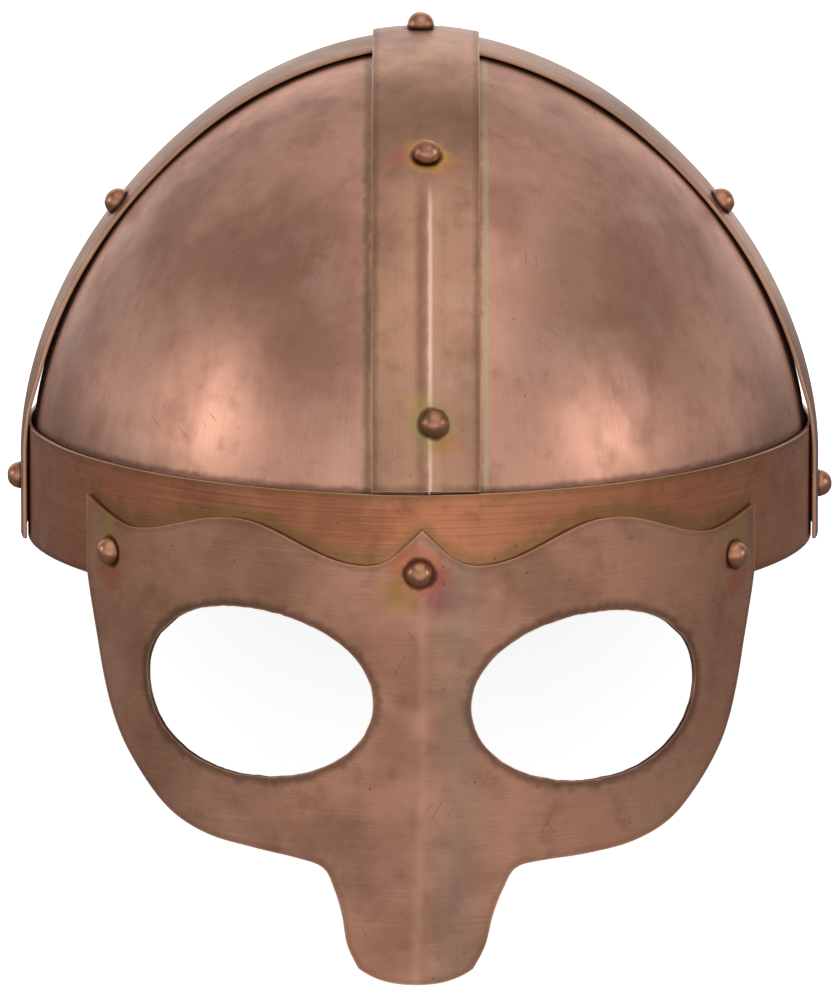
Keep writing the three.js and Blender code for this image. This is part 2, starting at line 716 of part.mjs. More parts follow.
// Tip the level helmet back until its nasal and the rear of its brow band stand at one height.
function restAngle(helmet) {
  const points = [];
  helmet.updateMatrixWorld(true);
  helmet.traverse((child) => {
    if (!child.isMesh) return;
    const place = child.geometry.attributes.position;
    for (let index = 0; index < place.count; index += 1) {
      points.push(new THREE.Vector3().fromBufferAttribute(place, index).applyMatrix4(child.matrixWorld));
    }
  });
  const lowest = (end, angle) => {
    let low = Infinity;
    for (const point of points) {
      if (point.y * end < 0) continue;
      low = Math.min(low, point.y * Math.sin(angle) + point.z * Math.cos(angle));
    }
    return low;
  };
  let level = 0;
  let steep = -Math.PI / 3;
  for (let step = 0; step < 40; step += 1) {
    const middle = (level + steep) / 2;
    if (lowest(-1, middle) < lowest(1, middle)) level = middle;
    else steep = middle;
  }
  return level;
}

const solids = {
  ...platesOf(domeSolid()),
  brow_band: browBand(),
  cross_band: crossBand(),
  fore_aft_band: foreAftBand(),
  spectacle_mask: spectacleMask(),
};
const finishes = {
  plate_front_left: "dome",
  plate_front_right: "dome",
  plate_rear_left: "dome",
  plate_rear_right: "dome",
  brow_band: "brow",
  cross_band: "band",
  fore_aft_band: "band",
  spectacle_mask: "mask",
};

const helmet = new THREE.Group();
for (const place of rivetPlaces()) {
  const grip = gripOf(place);
  const hole = holeSolid(place, grip);
  for (const name of place.through) {
    solids[name] = solids[name].subtract(hole);
  }
  const rivet = meshOf(place.name, rivetGeometry(grip), "rivet");
  rivet.position.copy(place.seat);
  rivet.quaternion.copy(turnTo(place.out));
  helmet.add(rivet);
}
for (const [name, solid] of Object.entries(solids)) {
  helmet.add(meshOf(name, geometryOf(solid), finishes[name]));
}

helmet.rotation.x = restAngle(helmet);
const resting = new THREE.Box3().setFromObject(helmet, true);
const middle = resting.getCenter(new THREE.Vector3());
helmet.position.set(-middle.x, -middle.y, -resting.min.z);

const part = new THREE.Group();
part.add(helmet);

export default part;
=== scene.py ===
"""Spangenhelm helmet with a spectacle mask: the finished look of each plate, band and rivet.

The helmet is drawn level, in millimetres: x to the right as seen from the front, y to the back,
z up, with z = 0 on the lower edge of the brow band. It is then set down the way it rests, on
the tip of its nasal and the rear of its brow band.
"""

import json
import logging
import math
from dataclasses import dataclass, field, replace
from enum import Enum
from typing import Any, Callable, Mapping, Optional, Sequence

import bpy
import numpy as np
from mathutils import Matrix, Vector, noise

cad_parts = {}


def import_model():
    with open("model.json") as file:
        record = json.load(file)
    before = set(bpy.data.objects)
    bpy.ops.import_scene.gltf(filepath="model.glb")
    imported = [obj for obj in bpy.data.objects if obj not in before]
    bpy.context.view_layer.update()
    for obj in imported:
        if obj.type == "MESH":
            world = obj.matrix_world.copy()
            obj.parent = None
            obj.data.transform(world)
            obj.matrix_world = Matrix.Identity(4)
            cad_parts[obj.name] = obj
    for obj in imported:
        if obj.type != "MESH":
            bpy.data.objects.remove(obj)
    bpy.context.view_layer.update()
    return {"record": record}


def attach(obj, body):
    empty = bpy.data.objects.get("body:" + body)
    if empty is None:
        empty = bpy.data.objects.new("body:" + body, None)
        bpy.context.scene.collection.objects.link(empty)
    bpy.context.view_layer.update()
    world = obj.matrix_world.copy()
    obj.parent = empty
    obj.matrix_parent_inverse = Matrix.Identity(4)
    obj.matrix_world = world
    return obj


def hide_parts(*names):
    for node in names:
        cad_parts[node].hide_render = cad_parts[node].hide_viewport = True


LOG = logging.getLogger("helmet")
MM = 0.001  # one millimetre, in metres

FRONT_OVAL_POWER = 1.85  # 2 is a true ellipse, less is more pointed
REAR_OVAL_POWER = 2.15
HALVINGS = 40


class Side(Enum):
    """One side of the helmet, as seen from the front."""

    LEFT = -1
    RIGHT = 1


class End(Enum):
    """The front or the rear of the helmet."""

    FRONT = -1
    REAR = 1


class Slot(Enum):
    """The material slots of the part's record."""

    DOME = "dome_copper"
    BAND = "band_copper"
    BROW = "brow_copper"
    MASK = "mask_copper"
    RIVET = "rivet_copper"


class Ease(Enum):
    """How the mask's upper edge gets from one place to the next."""

    START = "start"
    SETTLE = "settle"
    WAVE = "wave"
    CLIMB = "climb"

    def share(self, way: np.ndarray) -> np.ndarray:
        """Share of the rise that is reached at each share of the way."""
        if self is Ease.SETTLE:
            return 1 - (1 - way) ** 2
        if self is Ease.WAVE:
            return (1 - np.cos(math.pi * way)) / 2
        return way**1.4


def smooth_step(value: np.ndarray, low: float, high: float) -> np.ndarray:
    """0 below low, 1 above high and a smooth change between them."""
    share = np.clip((np.asarray(value, float) - low) / (high - low), 0, 1)
    return share * share * (3 - 2 * share)


def unit(vectors: np.ndarray) -> np.ndarray:
    """The same directions with length 1."""
    return vectors / np.linalg.norm(vectors, axis=-1, keepdims=True)


def inset_stations(low: float, high: float, steps: int, inset: float) -> np.ndarray:
    """Even places from low to high, with one more close to each end to hold the edge's rounding.

    Args:
        low: First place.
        high: Last place.
        steps: How many even steps lie between them.
        inset: How far the extra places are from the ends.

    Returns:
        The places in order.
    """
    even = np.linspace(low, high, steps + 1)
    return np.concatenate([[low, low + inset], even[1:-1], [high - inset, high]])


def rough_field(points: np.ndarray, size_mm: float, seed: float) -> np.ndarray:
    """Smooth random heights from about -1 to 1 at points in millimetres.

    Args:
        points: Places, one row each.
        size_mm: Width of one hump.
        seed: Shifts the pattern.

    Returns:
        One height for each place.
    """
    flat = points.reshape(-1, 3) / size_mm + seed
    heights = np.array([noise.noise(Vector(place)) for place in flat])
    return heights.reshape(points.shape[:-1])


@dataclass(frozen=True)
class Shell:
    """An oval in plan whose walls stand upright to its widest level and then close in to its top."""

    half_width: float
    half_length: float
    widest_level: float = 0.0
    rise: float = math.inf
    power: float = 2.0

    def offset(self, distance: float) -> "Shell":
        """The same shell, this much further out."""
        return replace(
            self,
            half_width=self.half_width + distance,
            half_length=self.half_length + distance,
            rise=self.rise + distance,
        )

    def fullness(self, points: np.ndarray) -> np.ndarray:
        """1 on the shell, less inside it and more outside it."""
        power = np.where(points[..., 1] < 0, FRONT_OVAL_POWER, REAR_OVAL_POWER)
        across = (np.abs(points[..., 0]) / self.half_width) ** power
        along = (np.abs(points[..., 1]) / self.half_length) ** power
        up = np.maximum(0, points[..., 2] - self.widest_level) / self.rise
        return (across + along) ** (self.power / power) + up**self.power

    def meet(self, start: np.ndarray, direction: np.ndarray) -> np.ndarray:
        """Where rays from inside meet the shell, found by halving.

        Args:
            start: Where each ray starts.
            direction: Which way it goes, with length 1.

        Returns:
            The points on the shell.
        """
        start, direction = np.broadcast_arrays(start, direction)
        near = np.zeros(direction.shape[:-1])
        far = np.full(direction.shape[:-1], 3 * self.half_length)
        for _ in range(HALVINGS):
            middle = (near + far) / 2
            within = self.fullness(start + direction * middle[..., None]) < 1
            near = np.where(within, middle, near)
            far = np.where(within, far, middle)
        return start + direction * near[..., None]

    def normals(self, points: np.ndarray) -> np.ndarray:
        """Outward normals, from the slope of the fullness."""
        reach = 0.01
        slopes = [
            self.fullness(points + step) - self.fullness(points - step)
            for step in np.eye(3) * reach
        ]
        return unit(np.stack(slopes, -1))


@dataclass(frozen=True)
class Sheetwork:
    """Sizes that the pieces share, in millimetres, and the shells that their faces lie on."""

    sheet: float = 1.0
    gap: float = 0.3
    brow_half_width: float = 100.3
    brow_half_length: float = 118.0
    brow_height: float = 29.8
    dome_widest_level: float = 22.0
    dome_top: float = 127.3
    dome_power: float = 1.83
    seam_x: float = 2.4
    cross_widest_level: float = 22.0
    cross_power: float = 1.815
    cross_lift: float = 0.6
    fore_aft_widest_level: float = 15.8
    fore_aft_spring: float = 2.3
    fore_aft_power: float = 1.84
    fore_aft_lift: float = 0.45
    solid_facets: int = 51  # round the plain solid of the brow band

    @property
    def dome_face(self) -> Shell:
        """Outer face of the plates."""
        return Shell(
            self.brow_half_width - self.sheet - self.gap,
            self.brow_half_length - self.sheet - self.gap,
            self.dome_widest_level,
            self.dome_top - self.dome_widest_level,
            self.dome_power,
        )

    @property
    def brow_face(self) -> Shell:
        """Outer face of the brow band."""
        return Shell(self.brow_half_width, self.brow_half_length)

    @property
    def mask_face(self) -> Shell:
        """Outer face of the mask."""
        return self.brow_face.offset(self.gap + self.sheet)

    @property
    def cross_top(self) -> float:
        """Underside of the cross band at the crown."""
        return self.dome_top + self.cross_lift

    @property
    def cross_underside(self) -> Shell:
        """Underside of the cross band, which just clears the brow band's upper edge."""
        rise = self.cross_top - self.cross_widest_level
        height = max(0.0, self.brow_height - self.cross_widest_level) / rise
        narrowing = (1 - height**self.cross_power) ** (1 / self.cross_power)
        return Shell(
            (self.brow_half_width + self.gap) / narrowing,
            (self.brow_half_length + self.gap) / narrowing,
            self.cross_widest_level,
            rise,
            self.cross_power,
        )

    @property
    def fore_aft_underside(self) -> Shell:
        """Underside of the fore-and-aft band, which lies over the cross band at the crown."""
        return Shell(
            self.dome_face.half_width + self.fore_aft_spring,
            self.dome_face.half_length + self.fore_aft_spring,
            self.fore_aft_widest_level,
            self.cross_top + self.sheet + self.fore_aft_lift - self.fore_aft_widest_level,
            self.fore_aft_power,
        )


@dataclass(frozen=True)
class Rest:
    """How the level helmet is turned and moved to where it rests, read off its brow rim mount."""

    turn: np.ndarray
    shift: np.ndarray

    @classmethod
    def from_record(cls, record: Mapping[str, Any], work: Sheetwork) -> "Rest":
        """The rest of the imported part.

        Args:
            record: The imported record, whose mount lies on the rear of the brow band's lower edge.
            work: Sizes of the sheetwork.

        Returns:
            The turn and the shift in metres.
        """
        mount = next(item for item in record["mounts"] if item["name"] == "brow_rim")
        up = -np.array(mount["axis"], float)
        angle = math.atan2(-up[1], up[2])
        turn = np.array(Matrix.Rotation(angle, 3, "X"))
        on_rim = np.array([0, rim_at_rear(work), 0])
        return cls(turn, np.array(mount["pos_m"], float) - turn @ on_rim * MM)

    def place(self, points: np.ndarray) -> np.ndarray:
        """Points of the level helmet in millimetres, as points at rest in metres."""
        return points @ self.turn.T * MM + self.shift


def rim_at_rear(work: Sheetwork) -> float:
    """Distance back to the middle of the solid brow band's flat at the rear, where its mount is."""
    turn = math.pi * (1 - 1 / work.solid_facets)
    direction = np.array([math.sin(turn), -math.cos(turn), 0])
    faces = (work.brow_face, work.brow_face.offset(-work.sheet))
    return float(np.mean([face.meet(np.zeros(3), direction)[1] for face in faces]))


@dataclass
class Skin:
    """A closed mesh with what its finish needs to know about each point."""

    points: np.ndarray
    faces: list[tuple[int, ...]]
    flow: np.ndarray
    seams: np.ndarray
    edge: np.ndarray
    inside: np.ndarray

    def outward(self) -> "Skin":
        """The same skin with all its faces turned out."""
        origin = self.points.mean(0)
        sixfold = 0.0
        for face in self.faces:
            a, b, c = (self.points[index] - origin for index in face[:3])
            sixfold += float(a @ np.cross(b, c))
            if len(face) == 4:
                d = self.points[face[3]] - origin
                sixfold += float(a @ np.cross(c, d))
        if sixfold < 0:
            return replace(self, faces=[face[::-1] for face in self.faces])
        return self

    def to_object(self, name: str, rest: Rest) -> bpy.types.Object:
        """The skin as a smooth-shaded object at rest, with its attributes.

        Args:
            name: Name of the object.
            rest: Where the level helmet stands.

        Returns:
            The new object, linked to the scene.
        """
        skin = self.outward()
        mesh = bpy.data.meshes.new(name)
        mesh.from_pydata(rest.place(skin.points).tolist(), [], skin.faces)
        for title, values in (("helm", skin.points), ("flow", skin.flow), ("seams", skin.seams)):
            layer = mesh.attributes.new(title, "FLOAT_VECTOR", "POINT")
            layer.data.foreach_set("vector", np.ascontiguousarray(values, np.float32).ravel())
        for title, values in (("edge", skin.edge), ("inside", skin.inside)):
            layer = mesh.attributes.new(title, "FLOAT", "POINT")
            layer.data.foreach_set("value", np.ascontiguousarray(values, np.float32).ravel())
        mesh.shade_smooth()
        made = bpy.data.objects.new(name, mesh)
        bpy.context.scene.collection.objects.link(made)
        return made


def close_sheet(
    outer: np.ndarray,
    inner: np.ndarray,
    quads: Sequence[tuple[int, ...]],
    flow: np.ndarray,
    seams: np.ndarray,
    edge: np.ndarray,
) -> Skin:
    """A sheet with both its faces and a wall along each free edge.

    Args:
        outer: Points of the outer face.
        inner: The matching points of the inner face.
        quads: Faces over the points, all turned the same way.
        flow: Distance along and across the sheet at each point.
        seams: Three distances that the finish uses, at each point.
        edge: Distance to the nearest cut edge.

    Returns:
        The closed skin.
    """
    count = len(outer)
    outline = {(a, b) for face in quads for a, b in zip(face, (*face[1:], face[0]))}
    walls = [(b, a, a + count, b + count) for a, b in sorted(outline) if (b, a) not in outline]
    faces = [*quads, *(tuple(index + count for index in face[::-1]) for face in quads), *walls]

    def twice(values: np.ndarray) -> np.ndarray:
        """The same values for the outer and the inner points."""
        return np.concatenate([values, values])

    return Skin(
        np.concatenate([outer, inner]),
        faces,
        twice(flow),
        twice(seams),
        twice(edge),
        np.concatenate([np.zeros(count), np.ones(count)]),
    )


def grid_quads(rows: int, columns: int, ring: bool = False) -> list[tuple[int, ...]]:
    """Faces over a grid of points. In a ring the last column joins the first one."""
    last = columns if ring else columns - 1
    return [
        (
            row * columns + column,
            row * columns + (column + 1) % columns,
            (row + 1) * columns + (column + 1) % columns,
            (row + 1) * columns + column,
        )
        for row in range(rows - 1)
        for column in range(last)
    ]


def rows_of(grid: np.ndarray) -> np.ndarray:
    """A grid's points, row after row."""
    return grid.reshape(-1, grid.shape[-1])


def triple(first: np.ndarray, second: Any = 0.0, third: Any = 0.0) -> np.ndarray:
    """Three fields of numbers as one field of vectors."""
    return np.stack(np.broadcast_arrays(first, second, third), -1).astype(float)


@dataclass
class SubAssembly:
    """What every sub-assembly of the helmet has: the shared sizes, its rest and its finish."""

    work: Sheetwork
    rest: Rest
    finish: Optional[bpy.types.Material] = None

    slot = Slot.DOME
    edge_radius = 0.22  # a filed edge, in millimetres

    def install(self, skin: Skin, name: str, node: str) -> bpy.types.Object:
        """Makes one piece, rounds its cut edges, dresses it and lets it stand for its solid.

        Args:
            skin: The piece's skin.
            name: Name of the piece.
            node: The solid that it stands for.

        Returns:
            The piece.
        """
        piece = skin.to_object(name, self.rest)
        rounding = piece.modifiers.new("filed edge", "BEVEL")
        rounding.width = self.edge_radius * MM
        rounding.segments = 2
        rounding.limit_method = "ANGLE"
        rounding.angle_limit = math.radians(50)
        rounding.harden_normals = True
        piece.data.materials.append(self.finish)
        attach(piece, "root")
        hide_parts(node)
        LOG.info("%s: %d faces, for %s", name, len(piece.data.polygons), node)
        return piece


@dataclass
class Dome(SubAssembly):
    """Four raised plates, each a quarter of the dome.

    Its distances are to the fore-and-aft band, to the brow band and to the cross band.
    """

    foot: float = 2.5
    seam_gap: float = 0.1
    columns: int = 88
    rows: int = 92
    top_climb_deg: float = 88.9
    dent_depth: float = 0.28
    dent_size: float = 42.0
    fore_aft_edges: tuple[float, float] = (-11.9, 15.1)
    cross_edge: float = 13.25

    slot = Slot.DOME

    def plate(self, side: Side, end: End) -> Skin:
        """One plate, from the foot inside the brow band to the crown under the bands."""
        shell = self.work.dome_face
        half_gap = self.seam_gap / 2
        start = np.array(
            [
                self.work.seam_x + side.value * half_gap,
                end.value * half_gap,
                shell.widest_level,
            ]
        )
        turns = np.linspace(0, math.pi / 2, self.columns + 1)
        climbs = np.radians(np.linspace(0, self.top_climb_deg, self.rows + 1))
        climb, turn = np.meshgrid(climbs, turns, indexing="ij")
        direction = np.stack(
            [
                side.value * np.sin(turn) * np.cos(climb),
                end.value * np.cos(turn) * np.cos(climb),
                np.sin(climb),
            ],
            -1,
        )
        face = shell.meet(start, direction)
        wall = [face[:1] * [1, 1, 0] + [0, 0, level] for level in (self.foot, self.foot + 0.5, 9.0)]
        face = np.concatenate([*wall, face])
        normals = shell.normals(face)
        back = face - normals * self.work.sheet
        back[0, :, 2] = face[0, :, 2]
        back[:, 0, 0] = face[:, 0, 0]
        back[:, -1, 1] = face[:, -1, 1]
        push = normals * self.dents(face)[..., None]
        points, inner = rows_of(face - push), rows_of(back - push)
        flow = self.flow_over(face)
        quads = grid_quads(*face.shape[:2])
        edge = np.minimum(np.abs(points[:, 0] - start[0]), np.abs(points[:, 1] - start[1]))
        edge = np.minimum(edge, points[:, 2] - self.foot)
        return close_sheet(points, inner, quads, rows_of(flow), self.seams_at(points), edge)

    def dents(self, face: np.ndarray) -> np.ndarray:
        """How far the hammer and the years have set the face in, none where bands lie on it."""
        heights = rough_field(face, self.dent_size, 3.7) + 0.4 * rough_field(face, 17.0, 9.1)
        free = smooth_step(face[..., 2], self.work.brow_height - 2, self.work.brow_height + 14)
        low, high = self.fore_aft_edges
        beside = np.maximum(low - face[..., 0], face[..., 0] - high)
        free = free * smooth_step(beside, -3, 10)
        free = free * smooth_step(np.abs(face[..., 1]) - self.cross_edge, -3, 8)
        return self.dent_depth * np.clip(0.5 + 0.7 * heights, 0, 1) * free

    def flow_over(self, face: np.ndarray) -> np.ndarray:
        """Distances round the dome and up it."""
        reach = self.work.brow_half_width
        around = np.arctan2(face[..., 0], -face[..., 1]) * reach
        up = np.arctan2(face[..., 2], np.hypot(face[..., 0], face[..., 1])) * reach
        return triple(around, up)

    def seams_at(self, points: np.ndarray) -> np.ndarray:
        """Distances to the fore-and-aft band, less than 0 on its left, the brow and the cross band."""
        low, high = self.fore_aft_edges
        right = points[:, 0] - high
        left = low - points[:, 0]
        beside = np.where(right > left, right, -left)
        above = points[:, 2] - self.work.brow_height
        across = np.abs(points[:, 1]) - self.cross_edge
        return triple(beside, above, across)

    def build(self) -> None:
        """Makes the four plates."""
        for end in End:
            for side in Side:
                name = f"{end.name.lower()}_{side.name.lower()}"
                self.install(self.plate(side, end), f"dome_plate_{name}", f"plate_{name}")


@dataclass
class BrowBand(SubAssembly):
    """The oval band that the head sets.

    Its distances are over the mask's upper edge, over its own lower edge and under its upper one.
    """

    columns: int = 420
    rows: int = 20
    edge_wander: float = 0.12
    mask_edge: Optional[Callable[[np.ndarray], np.ndarray]] = None

    slot = Slot.BROW

    def build(self) -> None:
        """Makes the band."""
        shell = self.work.brow_face
        turns = np.linspace(0, 2 * math.pi, self.columns, endpoint=False)
        direction = np.stack([np.sin(turns), -np.cos(turns), np.zeros_like(turns)], -1)
        loop = shell.meet(np.zeros(3), direction)
        normals = shell.normals(loop) * [1, 1, 0]
        levels = inset_stations(0, self.work.brow_height, self.rows, 0.5)
        face = np.repeat(loop[None], len(levels), 0)
        top = self.work.brow_height + self.edge_wander * (rough_field(loop, 18.0, 1.3) - 1)
        face[..., 2] = levels[:, None] / self.work.brow_height * top
        back = face - normals * self.work.sheet
        steps = np.linalg.norm(np.diff(loop, axis=0, append=loop[:1]), axis=1)
        along = np.concatenate([[0], np.cumsum(steps)[:-1]])
        over = self.mask_edge(loop) if self.mask_edge else np.full(len(loop), -99.0)
        seams = triple(face[..., 2] - over, face[..., 2], top - face[..., 2])
        edge = np.minimum(face[..., 2], top - face[..., 2])
        flow = triple(np.broadcast_to(along, face.shape[:2]), face[..., 2])
        quads = grid_quads(*face.shape[:2], ring=True)
        skin = close_sheet(
            rows_of(face), rows_of(back), quads, rows_of(flow), rows_of(seams), edge.ravel()
        )
        self.install(skin, "brow_band_oval", "brow_band")


@dataclass
class CrossBand(SubAssembly):
    """The band from ear to ear, whose legs drop outside the brow band.

    Its distances are to the nearest long edge, up from the brow and out from the middle.
    """

    width: float = 26.5
    foot: float = 0.6
    steps: int = 190
    columns: int = 14
    edge_wander: float = 0.15
    tuck: float = 0.75

    slot = Slot.BAND

    def tuck_at(self, y: np.ndarray, angle: np.ndarray) -> np.ndarray:
        """How far the long edges are drawn in towards the plates, on the flanks alone."""
        climb = np.degrees(np.minimum(angle, math.pi - angle))
        on_flank = smooth_step(climb, 5, 12) * (1 - smooth_step(climb, 45, 65))
        return self.tuck * on_flank * (2 * y / self.width) ** 2

    def face_points(self, shell: Shell) -> np.ndarray:
        """The points of one face, from the right foot over the crown to the left foot."""
        level = shell.widest_level
        angles = np.linspace(0, math.pi, self.steps + 1)
        across = inset_stations(-self.width / 2, self.width / 2, self.columns, 0.5)
        angle, y = np.meshgrid(angles, across, indexing="ij")
        start = triple(np.zeros_like(y), y, level)
        direction = triple(np.cos(angle), np.zeros_like(y), np.sin(angle))
        arch = shell.offset(-self.tuck_at(y, angle)).meet(start, direction)
        heights = np.concatenate([[self.foot, self.foot + 0.5], np.linspace(3.5, level - 3, 5)])
        legs = [arch[0] * [1, 1, 0] + [0, 0, height] for height in heights]
        far_legs = [arch[-1] * [1, 1, 0] + [0, 0, height] for height in heights[::-1]]
        return np.concatenate([legs, arch, far_legs])

    def build(self) -> None:
        """Makes the band."""
        under = self.work.cross_underside
        face = self.face_points(under.offset(self.work.sheet))
        back = self.face_points(under)
        wander = self.edge_wander * rough_field(face, 24.0, 5.5)
        share = face[..., 1] / (self.width / 2)
        shift = triple(np.zeros_like(share), wander * share**8 - self.edge_wander * share, 0)
        steps = np.linalg.norm(np.diff(face[:, 0], axis=0, prepend=face[:1, 0]), axis=1)
        along = np.cumsum(steps)
        edge = np.minimum(self.width / 2 - np.abs(face[..., 1]), face[..., 2] - self.foot)
        along_grid = np.broadcast_to(along[:, None], face.shape[:2])
        seams = triple(self.width / 2 - np.abs(face[..., 1]), face[..., 2], np.abs(face[..., 0]))
        skin = close_sheet(
            rows_of(face + shift),
            rows_of(back + shift),
            grid_quads(*face.shape[:2]),
            rows_of(triple(along_grid, face[..., 1])),
            rows_of(seams),
            edge.ravel(),
        )
        self.install(skin, "cross_band_ear_to_ear", "cross_band")


@dataclass
class ForeAftBand(SubAssembly):
    """The band over the crown from brow to nape, with a low ridge pressed along its lower parts.

    Its distances are to the nearest long edge, to the nearest end and across from the ridge.
    """

    width: float = 27.0
    centre_x: float = 1.6
    foot_gap: float = 0.4
    ridge_height: float = 0.9
    ridge_half_width: float = 4.2
    ridge_inside: float = 0.3  # share of the ridge that shows on the inner face
    ridge_round: float = 0.3
    ridge_top_deg: float = 50.0
    ridge_fade_deg: float = 7.0
    steps: int = 210
    columns: int = 44
    edge_wander: float = 0.12
    dent_depth: float = 0.22

    slot = Slot.BAND

    def start_angle(self) -> float:
        """Angle at which the band starts over the brow band, seen from the widest level."""
        shell = self.work.fore_aft_underside
        level = self.work.brow_height + self.foot_gap
        height = (level - shell.widest_level) / shell.rise
        out = shell.half_length * (1 - height**shell.power) ** (1 / shell.power)
        return math.atan2(level - shell.widest_level, out)

    def ridge_at(self, x: np.ndarray, angle: np.ndarray) -> np.ndarray:
        """Height of the ridge across the band, which fades out below the upper rivets."""
        away = np.sqrt((x - self.work.seam_x) ** 2 + self.ridge_round**2)
        tent = np.clip(1 - away / self.ridge_half_width, 0, 1) ** 1.3
        return self.ridge_height * tent * (1 - self.past_ridge(angle))

    def past_ridge(self, angle: np.ndarray) -> np.ndarray:
        """0 along the ridge and 1 over the crown, where the band is flat."""
        from_end = np.degrees(np.minimum(angle, math.pi - angle))
        return smooth_step(from_end, self.ridge_top_deg - self.ridge_fade_deg, self.ridge_top_deg)

    def build(self) -> None:
        """Makes the band."""
        shell = self.work.fore_aft_underside
        start = self.start_angle()
        angles = inset_stations(start, math.pi - start, self.steps, 0.004)
        half = self.width / 2
        across = inset_stations(self.centre_x - half, self.centre_x + half, self.columns, 0.5)
        angle, x = np.meshgrid(angles, across, indexing="ij")
        origin = triple(x, np.zeros_like(x), shell.widest_level)
        direction = triple(np.zeros_like(x), -np.cos(angle), np.sin(angle))
        base = shell.meet(origin, direction)
        normals = shell.normals(base)
        ridge = self.ridge_at(x, angle)
        dent = self.dent_depth * self.dents(base, x)
        share = (x - self.centre_x) / half
        wander = self.edge_wander * (rough_field(base, 22.0, 8.2) * share**8 - share)
        shift = triple(wander, np.zeros_like(x), 0)
        face = base + normals * (self.work.sheet + ridge - dent)[..., None] + shift
        back = base + normals * (self.ridge_inside * ridge - dent)[..., None] + shift
        middle = base[:, len(across) // 2]
        steps = np.linalg.norm(np.diff(middle, axis=0, prepend=middle[:1]), axis=1)
        along = np.broadcast_to(np.cumsum(steps)[:, None], x.shape)
        side_edge = half - np.abs(x - self.centre_x)
        end_edge = np.minimum(along, along.max() - along)
        seams = triple(side_edge, end_edge, x - self.work.seam_x)
        skin = close_sheet(
            rows_of(face),
            rows_of(back),
            grid_quads(*x.shape),
            rows_of(triple(along, x)),
            rows_of(seams),
            np.minimum(side_edge, end_edge).ravel(),
        )
        self.install(skin, "fore_aft_band_over_crown", "fore_aft_band")

    def dents(self, base: np.ndarray, x: np.ndarray) -> np.ndarray:
        """Shallow hollows away from the edges, the crown and the rivets, as shares of their depth."""
        inner = smooth_step(self.width / 2 - np.abs(x - self.centre_x), 0.5, 5)
        off_crown = smooth_step(np.abs(base[..., 1]) - 13, 4, 18)
        humps = 0.5 + 0.8 * rough_field(base, 19.0, 4.4)
        return np.clip(humps, 0, 1) * inner * off_crown


@dataclass(frozen=True)
class EdgeRow:
    """A place on the mask's upper edge: along the half span, and up as shares of the brow band."""

    along: float
    left: float
    right: float
    ease: Ease = Ease.START

    def level(self, side: Side) -> float:
        """The height on that side."""
        return self.left if side is Side.LEFT else self.right


@dataclass(frozen=True)
class LoopRow:
    """A place on a loop's outer edge: along the half span, and down as shares of the loop's drop."""

    along: float
    left: float
    right: float

    def drop(self, side: Side) -> float:
        """The drop on that side."""
        return self.left if side is Side.LEFT else self.right


@dataclass(frozen=True)
class NasalRow:
    """A place on the nasal's side: along the half span, and down as a share of its drop."""

    along: float
    drop: float


MASK_TOP_ROWS = (
    EdgeRow(0, 0.705, 0.705),
    EdgeRow(0.135, 0.395, 0.395, Ease.SETTLE),
    EdgeRow(0.468, 0.72, 0.72, Ease.WAVE),
    EdgeRow(0.815, 0.505, 0.47, Ease.WAVE),
    EdgeRow(1, 0.69, 0.605, Ease.CLIMB),
)
LOOP_ROWS = (
    LoopRow(1, -0.02, -0.02),
    LoopRow(0.954, 0.25, 0.26),
    LoopRow(0.91, 0.463, 0.478),
    LoopRow(0.852, 0.627, 0.652),
    LoopRow(0.76, 0.777, 0.81),
    LoopRow(0.665, 0.89, 0.925),
    LoopRow(0.55, 0.96, 0.99),
    LoopRow(0.42, 0.99, 1.015),
    LoopRow(0.3, 1.015, 1.025),
)
NASAL_ROWS = (
    NasalRow(0.232, 0.695),
    NasalRow(0.202, 0.75),
    NasalRow(0.18, 0.82),
    NasalRow(0.164, 0.9),
    NasalRow(0.135, 0.962),
)


def curve_through(stations: np.ndarray, steps: int) -> np.ndarray:
    """A smooth curve through stations, with so many steps between each two of them."""
    last = len(stations) - 1
    places = []
    for first in range(last):
        before, start = stations[max(first - 1, 0)], stations[first]
        end, after = stations[first + 1], stations[min(first + 2, last)]
        leave, arrive = (end - before) / 2, (after - start) / 2
        for share in np.arange(steps) / steps:
            square, cube = share**2, share**3
            places.append(
                (2 * start - 2 * end + leave + arrive) * cube
                + (3 * end - 3 * start - 2 * leave - arrive) * square
                + leave * share
                + start
            )
    return np.array([*places, stations[-1]])


